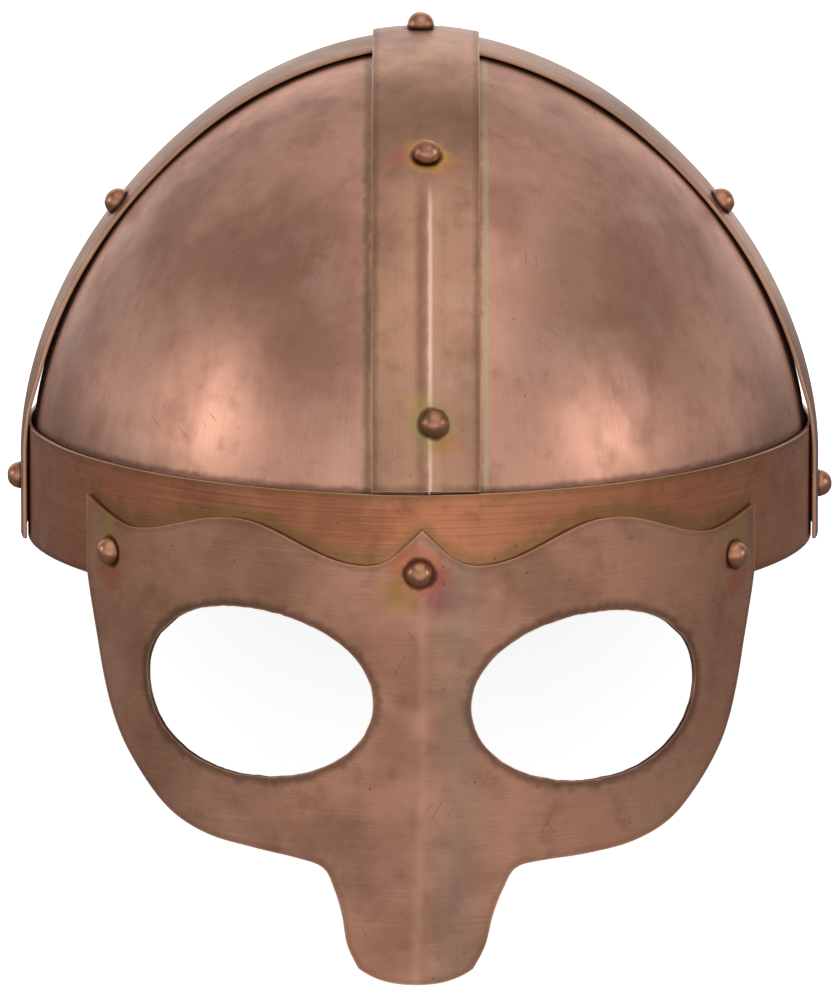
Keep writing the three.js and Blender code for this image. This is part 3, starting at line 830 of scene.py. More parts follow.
@dataclass
class SpectacleMask(SubAssembly):
    """One bent plate with a scalloped upper edge, two eye openings and a creased nasal.

    Its distances are to the nearest eye opening, across from the middle and to the nearest edge.
    """

    half_span: float = 106.4
    nasal_drop: float = 93.4
    loop_drop: float = 62.0
    eye_centre: float = 46.0
    eye_drop: float = 22.6
    eye_skew: float = 0.6
    eye_half_length: float = 33.8
    eye_half_height: float = 21.2
    eye_power: float = 2.05
    eye_tilt_deg: float = 2.0
    slip: float = 0.7
    nasal_lean: float = -1.7
    crease_height: float = 2.0
    crease_half_width: float = 19.0
    crease_round: float = 0.7
    crease_top: float = 4.0
    crease_fade: float = 22.0
    tip_power: float = 2.6
    top_steps: int = 22
    curve_steps: int = 9
    rings: int = 14
    middle_steps: int = 34
    nasal_columns: int = 12
    nick_depth: float = 0.16
    dent_depth: float = 0.35
    bend_steps: int = 1200

    slot = Slot.MASK
    _bend: dict[str, np.ndarray] = field(default_factory=dict)

    def __post_init__(self) -> None:
        """Works out the mask's face in plan against the distance along its bend."""
        shell = self.work.mask_face
        turns = np.linspace(0, math.pi / 2, self.bend_steps + 1)
        direction = np.stack([np.sin(turns), -np.cos(turns), np.zeros_like(turns)], -1)
        points = shell.meet(np.zeros(3), direction)
        steps = np.linalg.norm(np.diff(points, axis=0), axis=1)
        self._bend = {
            "along": np.concatenate([[0], np.cumsum(steps)]),
            "point": points,
            "normal": unit(shell.normals(points) * [1, 1, 0]),
        }

    def bent(self, flat: np.ndarray, depth: np.ndarray) -> np.ndarray:
        """Where places on the flat mask come to lie once it is bent round the brow.

        Args:
            flat: Distance along the bend and level, for each place.
            depth: How deep each place lies under the outer face.

        Returns:
            The points on the level helmet.
        """
        level = flat[..., 1]
        lean = self.nasal_lean * smooth_step(-level, 0.7 * self.loop_drop, self.nasal_drop)
        along = flat[..., 0] + self.slip + lean
        away, side = np.abs(along), np.where(along < 0, -1.0, 1.0)
        known = self._bend["along"]
        point = [np.interp(away, known, self._bend["point"][:, axis]) for axis in (0, 1)]
        normal = [np.interp(away, known, self._bend["normal"][:, axis]) for axis in (0, 1)]
        normal[0] = np.where(away == 0, 0, normal[0])
        out = self.crease_at(np.abs(flat[..., 0]), level) - depth
        return triple(side * (point[0] + normal[0] * out), point[1] + normal[1] * out, level)

    def crease_at(self, away: np.ndarray, level: np.ndarray) -> np.ndarray:
        """Height of the crease that runs down the nasal, with its top a little rounded."""
        soft = np.sqrt(away**2 + self.crease_round**2)
        across = np.maximum(0, 1 - soft / self.crease_half_width)
        return self.crease_height * across * smooth_step(self.crease_top - level, 0, self.crease_fade)

    def top_edge(self, side: Side) -> np.ndarray:
        """The upper edge of one half, flat, from the middle to the side."""
        first = MASK_TOP_ROWS[0]
        places = [[0.0, first.level(side) * self.work.brow_height]]
        for start, end in zip(MASK_TOP_ROWS, MASK_TOP_ROWS[1:]):
            way = np.arange(1, self.top_steps + 1) / self.top_steps
            along = start.along + (end.along - start.along) * way
            rise = end.level(side) - start.level(side)
            level = start.level(side) + rise * end.ease.share(way)
            places += zip(side.value * along * self.half_span, level * self.work.brow_height)
        return np.array(places)

    def outline(self, side: Side) -> tuple[np.ndarray, np.ndarray]:
        """Free edge of one half, flat: round the loop to the throat, and down the nasal."""
        upper = self.top_edge(side)
        stations = [(row.along, row.drop(side) * self.loop_drop) for row in LOOP_ROWS]
        stations += [(row.along, row.drop * self.nasal_drop) for row in NASAL_ROWS]
        flat = np.array(stations) * [side.value * self.half_span, -1]
        lower = curve_through(flat, self.curve_steps)
        throat = self.curve_steps * len(LOOP_ROWS)
        return np.concatenate([upper, lower[: throat + 1]]), lower[throat:]

    def eye_rim(self, side: Side, towards: np.ndarray) -> np.ndarray:
        """The points of an eye opening's rim that lie in the direction of other points."""
        tilt = math.radians(self.eye_tilt_deg) * side.value
        centre = np.array([side.value * self.eye_centre, -self.eye_drop - side.value * self.eye_skew])
        way = unit(towards - centre)
        x = way[:, 0] * math.cos(tilt) + way[:, 1] * math.sin(tilt)
        y = way[:, 1] * math.cos(tilt) - way[:, 0] * math.sin(tilt)
        full = np.abs(x / self.eye_half_length) ** self.eye_power
        full = full + np.abs(y / self.eye_half_height) ** self.eye_power
        reach = full ** (-1 / self.eye_power)
        nick = rough_field(triple(way[:, 0] * 40, way[:, 1] * 40, side.value), 3.1, 2.2)
        wave = rough_field(triple(way[:, 0] * 40, way[:, 1] * 40, side.value), 13.0, 6.6)
        return centre + way * (reach + self.nick_depth * (nick + wave))[:, None]

    def half(self, side: Side) -> tuple[list[np.ndarray], list[tuple[int, ...]]]:
        """Flat points and faces of one half: rings round its eye opening, and half the nasal."""
        loop, nasal = self.outline(side)
        throat = loop[-1]
        middle_top, middle_throat = loop[0], np.array([0.0, throat[1]])
        across = np.linspace(throat, middle_throat, self.nasal_columns + 1)[1:-1]
        upward = np.linspace(middle_throat, middle_top, self.middle_steps + 1)
        ring = np.concatenate([loop, across, upward])
        rim = self.eye_rim(side, ring)
        shares = np.concatenate([[0, 0.02], np.linspace(0, 1, self.rings + 1)[1:-1], [0.98, 1]])
        rows = rim[None] + (ring - rim)[None] * shares[:, None, None]
        places, faces = [rows_of(rows)], grid_quads(*rows.shape[:2])
        last = len(nasal) - 1
        down = (np.arange(last + 1) / last)[:, None]
        share = np.linspace(0, 1, self.nasal_columns + 1)[None]
        middle_level = throat[1] + (-self.nasal_drop - throat[1]) * down
        bow = (self.nasal_drop + nasal[-1][1]) * (share - share**self.tip_power) * down**4
        level = middle_level + (nasal[:, 1:] - middle_level) * share - bow
        grid = np.stack([nasal[:, :1] * share, level], -1)
        count = len(places[0])
        places.append(rows_of(grid))
        nasal_faces = grid_quads(*grid.shape[:2])
        faces += [tuple(index + count for index in face[::-1]) for face in nasal_faces]
        if side is Side.LEFT:
            faces = [face[::-1] for face in faces]
        return places, faces

    def build(self) -> None:
        """Makes the mask."""
        known: dict[tuple[float, float], int] = {}
        flat: list[np.ndarray] = []
        quads: list[tuple[int, ...]] = []
        for side in Side:
            places, faces = self.half(side)
            numbers = []
            for place in np.concatenate(places):
                key = (round(float(place[0]), 3), round(float(place[1]), 3))
                if key not in known:
                    known[key] = len(flat)
                    flat.append(place)
                numbers.append(known[key])
            for face in faces:
                joined = tuple(dict.fromkeys(numbers[index] for index in face))
                if len(joined) > 2:
                    quads.append(joined)
        points = np.array(flat)
        edge = self.edge_distance(points, quads)
        dent = self.dents(points, edge)
        outer = self.bent(points, dent)
        inner = self.bent(points, dent + self.work.sheet)
        seams = triple(self.rim_distance(points), points[:, 0], edge)
        skin = close_sheet(outer, inner, quads, triple(points[:, 0], points[:, 1]), seams, edge)
        self.install(skin, "spectacle_mask_and_nasal", "spectacle_mask")

    def dents(self, flat: np.ndarray, edge: np.ndarray) -> np.ndarray:
        """How far the free part of the mask is set in by wear. It lies true on the brow band."""
        hump = rough_field(triple(flat[:, 0], flat[:, 1]), 26.0, 7.3)
        hump = hump + 0.35 * rough_field(triple(flat[:, 0], flat[:, 1]), 9.0, 1.9)
        free = smooth_step(-flat[:, 1], 2, 16)
        return self.dent_depth * np.clip(0.5 + 0.8 * hump, 0, 1) * free

    def edge_distance(self, flat: np.ndarray, quads: Sequence[tuple[int, ...]]) -> np.ndarray:
        """Distance of each flat point to the nearest free edge."""
        outline = {(a, b) for face in quads for a, b in zip(face, (*face[1:], face[0]))}
        free = sorted({a for a, b in outline if (b, a) not in outline})
        rim = flat[free]
        blocks = np.array_split(flat, max(1, len(flat) // 2000))
        near = [np.linalg.norm(block[:, None] - rim[None], axis=2).min(1) for block in blocks]
        return np.concatenate(near)

    def rim_distance(self, flat: np.ndarray) -> np.ndarray:
        """Distance of each flat point to the nearest eye opening."""
        near = []
        for side in Side:
            centre = [side.value * self.eye_centre, -self.eye_drop]
            to_rim = np.linalg.norm(self.eye_rim(side, flat) - centre, axis=1)
            near.append(np.linalg.norm(flat - centre, axis=1) - to_rim)
        return np.minimum(*near)

    def top_over(self, loop: np.ndarray) -> np.ndarray:
        """Level of the mask's upper edge in front of points on the brow band, low where it has none."""
        turns = np.arctan2(self._bend["point"][:, 0], -self._bend["point"][:, 1])
        turn = np.arctan2(np.abs(loop[:, 0]), -loop[:, 1])
        along = np.interp(turn, turns, self._bend["along"]) * np.sign(loop[:, 0]) - self.slip
        levels = np.full(len(loop), -40.0)
        for side in Side:
            edge = self.top_edge(side) * [side.value, 1]
            here = along * side.value
            within = (here >= 0) & (here <= self.half_span)
            levels = np.where(within, np.interp(here, edge[:, 0], edge[:, 1]), levels)
        return levels


@dataclass(frozen=True)
class RivetSeat:
    """Where a rivet sits: its name, its seat on the outermost face and its way out."""

    name: str
    seat: np.ndarray
    out: np.ndarray


@dataclass
class Rivets(SubAssembly):
    """Twelve hand-set rivets, each with a domed head, a shank and a flattened tail.

    Its distances are from its axis and over its seat; the third number tells rivets apart.
    """

    mask: Optional[SpectacleMask] = None
    head_radius: float = 3.5
    head_height: float = 3.5
    head_skirt: float = 0.5
    shank_radius: float = 1.5
    tail_radius: float = 2.8
    tail_height: float = 0.9
    tail_gap: float = 0.8
    ridge_seat: float = 0.6  # how far the ridge lifts the heads on the fore-and-aft band
    cross_seat_y: float = -6.0
    segments: int = 48
    head_rings: int = 18
    hammer_depth: float = 0.1

    slot = Slot.RIVET
    edge_radius = 0.12

    def seats(self) -> list[RivetSeat]:
        """Every rivet's seat."""
        return [*self.on_mask(), *self.on_fore_aft(), *self.on_cross(), *self.on_ears()]

    def on_mask(self) -> list[RivetSeat]:
        """The three rivets through the mask."""
        places = (("left", -0.893, 0.254), ("centre", -0.007, 0.335), ("right", 0.905, 0.215))
        seats = []
        for name, along, level in places:
            flat = np.array([[along * self.mask.half_span, level * self.work.brow_height]])
            seat = self.mask.bent(flat, np.zeros(1))[0]
            out = unit(self.work.mask_face.normals(seat) * [1, 1, 0])
            seats.append(RivetSeat(f"mask_{name}", seat, out))
        return seats

    def on_fore_aft(self) -> list[RivetSeat]:
        """The five rivets along the fore-and-aft band."""
        seam = self.work.seam_x
        places = (
            ("front_lower", 3.6, 15.2),
            ("front_upper", 1.8, 53.9),
            ("crown", 0.3, 90.0),
            ("rear_upper", seam, 126.1),
            ("rear_lower", seam, 164.8),
        )
        face = self.work.fore_aft_underside.offset(self.work.sheet + self.ridge_seat)
        seats = []
        for name, x, degrees in places:
            angle = math.radians(degrees)
            start = np.array([x, 0, face.widest_level])
            seat = face.meet(start, np.array([0, -math.cos(angle), math.sin(angle)]))
            seats.append(RivetSeat(name, seat, face.normals(seat)))
        return seats

    def on_cross(self) -> list[RivetSeat]:
        """The two upper rivets of the cross band."""
        face = self.work.cross_underside.offset(self.work.sheet)
        seats = []
        for name, degrees in (("right_upper", 40.0), ("left_upper", 140.0)):
            angle = math.radians(degrees)
            start = np.array([0, self.cross_seat_y, face.widest_level])
            seat = face.meet(start, np.array([math.cos(angle), 0, math.sin(angle)]))
            seats.append(RivetSeat(name, seat, face.normals(seat)))
        return seats

    def on_ears(self) -> list[RivetSeat]:
        """The two rivets at the ears."""
        face = self.work.cross_underside.offset(self.work.sheet)
        seats = []
        for side, level in ((Side.LEFT, 0.5), (Side.RIGHT, 0.43)):
            out = np.array([float(side.value), 0, 0])
            seat = face.meet(np.zeros(3), out)
            seat[2] = level * self.work.brow_height
            seats.append(RivetSeat(f"ear_{side.name.lower()}", seat, out))
        return seats

    def grip(self, place: RivetSeat) -> float:
        """Distance from a seat to the inner face of the plates behind it."""
        inner = self.work.dome_face.offset(-self.work.sheet)
        met = inner.meet(place.seat - 20 * place.out, place.out)
        return float(np.linalg.norm(place.seat - met))

    def profile(self, grip: float) -> np.ndarray:
        """Half section of a rivet from the top of its head down, as radius and height."""
        turns = np.linspace(0, math.pi / 2, self.head_rings + 1)[1:]
        domed = np.sin(turns) ** 0.94
        head = np.stack([self.head_radius * domed, self.head_height * np.cos(turns)], 1)
        tail_top = -grip - self.tail_gap
        foot = np.array(
            [
                (self.head_radius * 0.97, -self.head_skirt),
                (self.shank_radius, -self.head_skirt),
                (self.shank_radius, tail_top),
                (self.tail_radius, tail_top),
                (self.tail_radius, tail_top - self.tail_height * 0.5),
                (self.tail_radius * 0.8, tail_top - self.tail_height),
            ]
        )
        return np.concatenate([head, foot])

    def skin(self, place: RivetSeat, seed: float) -> Skin:
        """One rivet at its seat, with the flats that the hammer left on its head."""
        section = self.profile(self.grip(place))
        turns = np.linspace(0, 2 * math.pi, self.segments, endpoint=False)
        height = np.repeat(section[:, 1:], self.segments, 1)
        grid = triple(section[:, :1] * np.cos(turns), section[:, :1] * np.sin(turns), height)
        top = [[0, 0, self.head_height], [0, 0, section[-1, 1]]]
        local = np.concatenate([rows_of(grid), top])
        hammered = self.hammer_depth * (rough_field(local, 2.1, seed) - 0.6)
        above = smooth_step(local[:, 2], 0, 0.8)
        local = local + unit(local + [0, 0, 1e-6]) * (hammered * above)[:, None]
        last = len(section) - 1
        faces = grid_quads(len(section), self.segments, ring=True)
        for column in range(self.segments):
            after = (column + 1) % self.segments
            faces.append((len(local) - 2, after, column))
            faces.append((len(local) - 1, last * self.segments + column, last * self.segments + after))
        turn = np.array(Vector((0, 0, 1)).rotation_difference(Vector(place.out)).to_matrix())
        points = local @ turn.T + place.seat
        radius = np.hypot(local[:, 0], local[:, 1])
        count = len(local)
        inside = (local[:, 2] < -1).astype(float)
        seams = triple(radius, local[:, 2], np.full(count, seed))
        return Skin(points, faces, local, seams, np.full(count, 9.0), inside)

    def build(self) -> None:
        """Makes the twelve rivets."""
        for number, place in enumerate(self.seats()):
            skin = self.skin(place, 1.7 * number + 0.4)
            self.install(skin, f"rivet_set_{place.name}", f"rivet_{place.name}")


def srgb(code: str) -> tuple[float, float, float, float]:
    """An sRGB hex colour as linear numbers."""
    shares = [int(code[place : place + 2], 16) / 255 for place in (0, 2, 4)]
    linear = [s / 12.92 if s <= 0.04045 else ((s + 0.055) / 1.055) ** 2.4 for s in shares]
    return (*linear, 1.0)


def add(
    tree: bpy.types.NodeTree,
    kind: str,
    inputs: Mapping[Any, Any],
    out: int = 0,
    **settings: Any,
) -> bpy.types.NodeSocket:
    """Adds one node with its settings and links.

    Args:
        tree: The node tree.
        kind: The node's type.
        inputs: A fixed value or another node's output, for each input.
        out: Which output to hand back.
        settings: Properties of the node itself.

    Returns:
        The chosen output.
    """
    node = tree.nodes.new(kind)
    for name, setting in settings.items():
        setattr(node, name, setting)
    for name, given in inputs.items():
        if isinstance(given, bpy.types.NodeSocket):
            tree.links.new(given, node.inputs[name])
        else:
            node.inputs[name].default_value = given
    return node.outputs[out]


class Distance(Enum):
    """Which of a piece's three distances a mark of tarnish, painted shade or painted highlight follows.
    Each sub-assembly says what they are.
    """

    FIRST = 0
    SECOND = 1
    THIRD = 2


@dataclass(frozen=True)
class StainOrPaintedLight:
    """Tarnish, grime or wear, painted shade or a painted highlight that follows a lap, an edge or a
    ridge. Its sizes are in millimetres.
    """

    follows: Distance
    middle: float
    reach: float
    colour: str
    strength: float
    ragged: float = 1.2
    dull: float = 0.3
    until: float = 0.0  # second distance at which it ends, or 0 where it runs on


@dataclass(frozen=True)
class Halo:
    """A soft patch of heat colour, or a ring of painted shade, near a rivet, at a shift from it. Its
    sizes are in millimetres.
    """

    rivet: str
    shift: tuple[float, float]
    inner: float
    outer: float
    colour: str
    strength: float
    dull: float = -0.1


def painted_shade_ring(rivet: str) -> Halo:
    """The dark ring of painted shade round the foot of a rivet's head, where it meets the sheet."""
    return Halo(rivet, (0.0, 0.0), 3.7, 4.7, "2b1f18", 0.75, 0.5)


@dataclass
class Coat:
    """The colour, dullness and height that a finish's layers have built up so far."""

    tree: bpy.types.NodeTree
    colour: bpy.types.NodeSocket
    dull: bpy.types.NodeSocket
    height: bpy.types.NodeSocket

    def lay(
        self,
        share: bpy.types.NodeSocket,
        colour: str,
        dull: float = 0.0,
        height_mm: float = 0.0,
    ) -> None:
        """Lays one more layer over the coat.

        Args:
            share: How much of the layer there is at each point.
            colour: Its colour.
            dull: How much duller it leaves the metal.
            height_mm: How far it stands up, or down where it is less than 0.
        """
        mixed = {0: share, 6: self.colour, 7: srgb(colour)}
        self.colour = add(self.tree, "ShaderNodeMix", mixed, 2, data_type="RGBA")
        if dull:
            more = {0: share, 1: dull, 2: self.dull}
            self.dull = add(self.tree, "ShaderNodeMath", more, operation="MULTIPLY_ADD")
        if height_mm:
            more = {0: share, 1: height_mm, 2: self.height}
            self.height = add(self.tree, "ShaderNodeMath", more, operation="MULTIPLY_ADD")


@dataclass(frozen=True)
class AgedCopper:
    """Copper-finished sheet steel, brushed to a satin and then darkened by age.

    The eye gets wide soft reflections, drawn out a little along the brush strokes. Tarnish makes
    the copper browner and duller in clouds and olive along the laps, heat has left colours round
    some rivets, and the metal is bright where its edges were filed, with a painted highlight there
    as well. Painted shade darkens the plates where the bands and the brow band lap over them and
    the foot of each rivet head; painted highlights run beside the fore-and-aft band, on its ridge
    and down the mask's crease. Sizes are in millimetres.
    """

    title: str
    base: str
    deep: str
    pale: str
    seed: float = 0.0
    roughness: float = 0.34
    cloud_size: float = 48.0
    deep_share: float = 0.5
    mottle_size: float = 8.5
    mottle_share: float = 0.35
    pale_share: float = 0.28
    stroke_length: float = 30.0
    stroke_width: float = 0.5  # real grit marks are finer; drawn as coarse as they need to show
    stroke_depth: float = 0.02
    stroke_share: float = 0.25
    strokes_upright: bool = False
    wave_size: float = 12.0
    wave_height: float = 0.12
    scratch_share: float = 0.3
    pit_spacing: float = 2.6
    pit_share: float = 0.55
    # colour of the filed cut edges, which also carries a painted highlight
    edge_colour: str = "e2ab8c"
    soot: str = "3a2a22"
    stains_and_painted_light: tuple[StainOrPaintedLight, ...] = ()
    halos: tuple[Halo, ...] = ()

    def dress(self, seats: Mapping[str, np.ndarray]) -> bpy.types.Material:
        """Makes the finish as a material.

        Args:
            seats: Where each rivet sits, for the heat colours and the rings of painted shade round it.

        Returns:
            The material.
        """
        made = bpy.data.materials.new(self.title)
        made.use_nodes = True
        tree = made.node_tree
        helm = add(tree, "ShaderNodeAttribute", {}, 1, attribute_name="helm")
        flow = add(tree, "ShaderNodeAttribute", {}, 1, attribute_name="flow")
        seams = add(tree, "ShaderNodeAttribute", {}, 1, attribute_name="seams")
        around = {0: helm, 1: (self.seed * 31, self.seed * 17, self.seed * 7)}
        moved = add(tree, "ShaderNodeVectorMath", around, operation="ADD")
        wander = {"Vector": moved, "Scale": 1 / 4.5, "Detail": 2.0, "Roughness": 0.65}
        ragged = add(tree, "ShaderNodeTexNoise", wander)
        coat = self.tarnish(tree, moved)
        self.brush(coat, flow)
        # tarnish along laps and edges, painted shade in the laps, and painted highlights on ridges and
        # creases
        for mark in self.stains_and_painted_light:
            self.settle(coat, mark, seams, ragged)
        # heat colours round the rivets, and rings of painted shade at the foot of their heads
        for halo in self.halos:
            self.heat(coat, halo, seats[halo.rivet], helm, ragged)
        self.scratch(coat, flow)
        self.pit(coat, moved)
        self.wear(coat)
        shader = tree.nodes["Principled BSDF"]
        shader.inputs["Metallic"].default_value = 1.0
        tree.links.new(coat.colour, shader.inputs["Base Color"])
        rough = {0: coat.dull, 1: 0.16, 2: self.roughness}
        rough = add(tree, "ShaderNodeMath", rough, operation="MULTIPLY_ADD")
        tree.links.new(rough, shader.inputs["Roughness"])
        relief = add(tree, "ShaderNodeBump", {"Height": coat.height, "Distance": MM})
        tree.links.new(relief, shader.inputs["Normal"])
        return made

    def tarnish(self, tree: bpy.types.NodeTree, helm: bpy.types.NodeSocket) -> Coat:
        """Starts the coat with wide clouds of tarnish, mottling and rubbed patches."""
        waves = {"Vector": helm, "Scale": 1 / self.wave_size, "Detail": 2.0}
        waves = add(tree, "ShaderNodeTexNoise", waves)
        height = {0: waves, 1: self.wave_height}
        height = add(tree, "ShaderNodeMath", height, operation="MULTIPLY")
        colour = add(tree, "ShaderNodeRGB", {})
        colour.default_value = srgb(self.base)
        dull = add(tree, "ShaderNodeMath", {0: waves, 1: 0.6}, operation="MULTIPLY")
        coat = Coat(tree, colour, dull, height)
        layers = (
            (self.cloud_size, 4.0, 0.44, 0.64, self.deep_share, self.deep, 0.5),
            (self.mottle_size, 5.0, 0.5, 0.72, self.mottle_share, self.deep, 0.5),
            (self.cloud_size * 0.6, 4.0, 0.52, 0.7, self.pale_share, self.pale, -0.3),
        )
        for size, detail, low, high, share, code, duller in layers:
            cloud = {"Vector": helm, "Scale": 1 / size, "Detail": detail, "Roughness": 0.62}
            cloud = add(tree, "ShaderNodeTexNoise", cloud)
            reach = {0: cloud, 1: low, 2: high, 4: share}
            reach = add(tree, "ShaderNodeMapRange", reach, interpolation_type="SMOOTHSTEP")
            coat.lay(reach, code, duller)
        return coat

    def brush(self, coat: Coat, flow: bpy.types.NodeSocket) -> None:
        """Brushes the sheet along its length, or up it."""
        scale = (1 / self.stroke_length, 1 / self.stroke_width, 1.0)
        if self.strokes_upright:
            scale = (scale[1], scale[0], 1.0)
        drawn = add(coat.tree, "ShaderNodeMapping", {0: flow, 3: scale})
        stroke = {"Vector": drawn, "Scale": 1.0, "Detail": 3.0, "Roughness": 0.7}
        stroke = add(coat.tree, "ShaderNodeTexNoise", stroke)
        for low, high, code, depth in (
            (0.5, 0.72, self.deep, -self.stroke_depth),
            (0.48, 0.28, self.pale, self.stroke_depth),
        ):
            share = {0: stroke, 1: low, 2: high, 4: self.stroke_share}
            share = add(coat.tree, "ShaderNodeMapRange", share, interpolation_type="SMOOTHSTEP")
            coat.lay(share, code, 0.0, depth)

    def settle(
        self,
        coat: Coat,
        mark: StainOrPaintedLight,
        seams: bpy.types.NodeSocket,
        ragged: bpy.types.NodeSocket,
    ) -> None:
        """Lays one mark of tarnish, painted shade or painted highlight along its line, with a ragged
        edge.
        """
        away = add(coat.tree, "ShaderNodeSeparateXYZ", {0: seams}, mark.follows.value)
        away = {0: ragged, 1: 4 * mark.ragged, 2: away}
        away = add(coat.tree, "ShaderNodeMath", away, operation="MULTIPLY_ADD")
        away = {0: away, 1: mark.middle + 2 * mark.ragged}
        away = add(coat.tree, "ShaderNodeMath", away, operation="SUBTRACT")
        away = add(coat.tree, "ShaderNodeMath", {0: away}, operation="ABSOLUTE")
        share = {0: away, 1: mark.reach, 2: 0.0, 4: mark.strength}
        share = add(coat.tree, "ShaderNodeMapRange", share, interpolation_type="SMOOTHSTEP")
        if mark.until:
            along = add(coat.tree, "ShaderNodeSeparateXYZ", {0: seams}, Distance.SECOND.value)
            near = {0: along, 1: mark.until + 5, 2: mark.until - 5}
            near = add(coat.tree, "ShaderNodeMapRange", near, interpolation_type="SMOOTHSTEP")
            share = add(coat.tree, "ShaderNodeMath", {0: share, 1: near}, operation="MULTIPLY")
        coat.lay(share, mark.colour, mark.dull)

    def heat(
        self,
        coat: Coat,
        halo: Halo,
        seat: np.ndarray,
        helm: bpy.types.NodeSocket,
        ragged: bpy.types.NodeSocket,
    ) -> None:
        """Colours one patch near a rivet."""
        place = (seat[0] + halo.shift[0], seat[1], seat[2] + halo.shift[1])
        away = add(coat.tree, "ShaderNodeVectorMath", {0: helm, 1: place}, 1, operation="DISTANCE")
        spread = 1.6 * (halo.outer - halo.inner)
        away = {0: ragged, 1: spread, 2: away}
        away = add(coat.tree, "ShaderNodeMath", away, operation="MULTIPLY_ADD")
        share = {0: away, 1: halo.outer + spread / 2, 2: halo.inner + spread / 2, 4: halo.strength}
        share = add(coat.tree, "ShaderNodeMapRange", share, interpolation_type="SMOOTHSTEP")
        coat.lay(share, halo.colour, halo.dull)

    def scratch(self, coat: Coat, flow: bpy.types.NodeSocket) -> None:
        """Scatters fine scratches in two directions, gathered in patches."""
        tree = coat.tree
        patch = {"Vector": flow, "Scale": 1 / 24, "Detail": 2.0}
        patch = add(tree, "ShaderNodeTexNoise", patch)
        for number, turn in enumerate((0.5, 1.7)):
            angle = {0: flow, "Angle": turn + self.seed * 0.1}
            line = add(tree, "ShaderNodeVectorRotate", angle, rotation_type="Z_AXIS")
            line = {0: line, 1: (3.3 * number + self.seed, 0, 0), 3: (0.08, 1.9, 1.0)}
            line = add(tree, "ShaderNodeMapping", line)
            line = add(tree, "ShaderNodeTexNoise", {"Vector": line, "Scale": 1.0, "Detail": 1.0})
            line = {0: line, 1: 0.71, 2: 0.76, 4: self.scratch_share}
            line = add(tree, "ShaderNodeMapRange", line, interpolation_type="SMOOTHSTEP")
            here = {0: patch, 1: 0.45, 2: 0.6}
            here = add(tree, "ShaderNodeMapRange", here, interpolation_type="SMOOTHSTEP")
            share = add(tree, "ShaderNodeMath", {0: line, 1: here}, operation="MULTIPLY")
            coat.lay(share, self.soot, 0.3, -0.03)

    def pit(self, coat: Coat, helm: bpy.types.NodeSocket) -> None:
        """Scatters small dark pits, one in a few cells."""
        tree = coat.tree
        cells = {"Vector": helm, "Scale": 1 / self.pit_spacing, "Randomness": 1.0}
        centre = add(tree, "ShaderNodeTexVoronoi", cells)
        spot = {0: centre, 1: 0.15, 2: 0.06, 4: self.pit_share}
        spot = add(tree, "ShaderNodeMapRange", spot, interpolation_type="SMOOTHSTEP")
        chance = add(tree, "ShaderNodeSeparateColor", {0: centre.node.outputs[1]})
        chance = add(tree, "ShaderNodeMapRange", {0: chance, 1: 0.9, 2: 0.94})
        share = add(tree, "ShaderNodeMath", {0: spot, 1: chance}, operation="MULTIPLY")
        coat.lay(share, self.soot, 0.4, -0.06)

    def wear(self, coat: Coat) -> None:
        """Leaves the cut edges bright, as filed metal with a painted highlight, and the inner faces
        dark.
        """
        edge = add(coat.tree, "ShaderNodeAttribute", {}, 2, attribute_name="edge")
        # painted highlight along the cut edges, over the brighter filed metal
        bright = {0: edge, 1: 0.38, 2: 0.1, 4: 0.5}
        bright = add(coat.tree, "ShaderNodeMapRange", bright, interpolation_type="SMOOTHSTEP")
        coat.lay(bright, self.edge_colour, -0.3)
        inside = add(coat.tree, "ShaderNodeAttribute", {}, 2, attribute_name="inside")
        inside = add(coat.tree, "ShaderNodeMath", {0: inside, 1: 0.7}, operation="MULTIPLY")
        coat.lay(inside, "6a4f41", 0.6)


DOME_FINISH = AgedCopper(
    "brushed antique copper, raised dome plates",
    base="cd9983",
    deep="8f6452",
    pale="e3bcaa",
    seed=1.0,
    strokes_upright=True,
    stroke_share=0.12,
    stains_and_painted_light=(
        # pale olive-gold line just right of the fore-and-aft band: a painted highlight where the plate
        # rolls under the band, tinted by patina
        StainOrPaintedLight(Distance.FIRST, 1.5, 1.2, "b8b48a", 0.55, 0.3),
        # painted shade under the left edge of the fore-and-aft band, with olive tarnish
        StainOrPaintedLight(Distance.FIRST, -1.0, 1.8, "4f4a30", 0.55, 0.5),
        # painted shade and grime in the lap just above the brow band's upper edge
        StainOrPaintedLight(Distance.SECOND, 0.2, 1.8, "3a2a20", 0.6, 0.5),
        # painted shade beside the cross band's edge, where it stands off the plates
        StainOrPaintedLight(Distance.THIRD, 0.4, 2.6, "5b4a34", 0.5),
        StainOrPaintedLight(Distance.THIRD, 26.0, 26.0, "74503f", 0.5, 3.0),
    ),
)
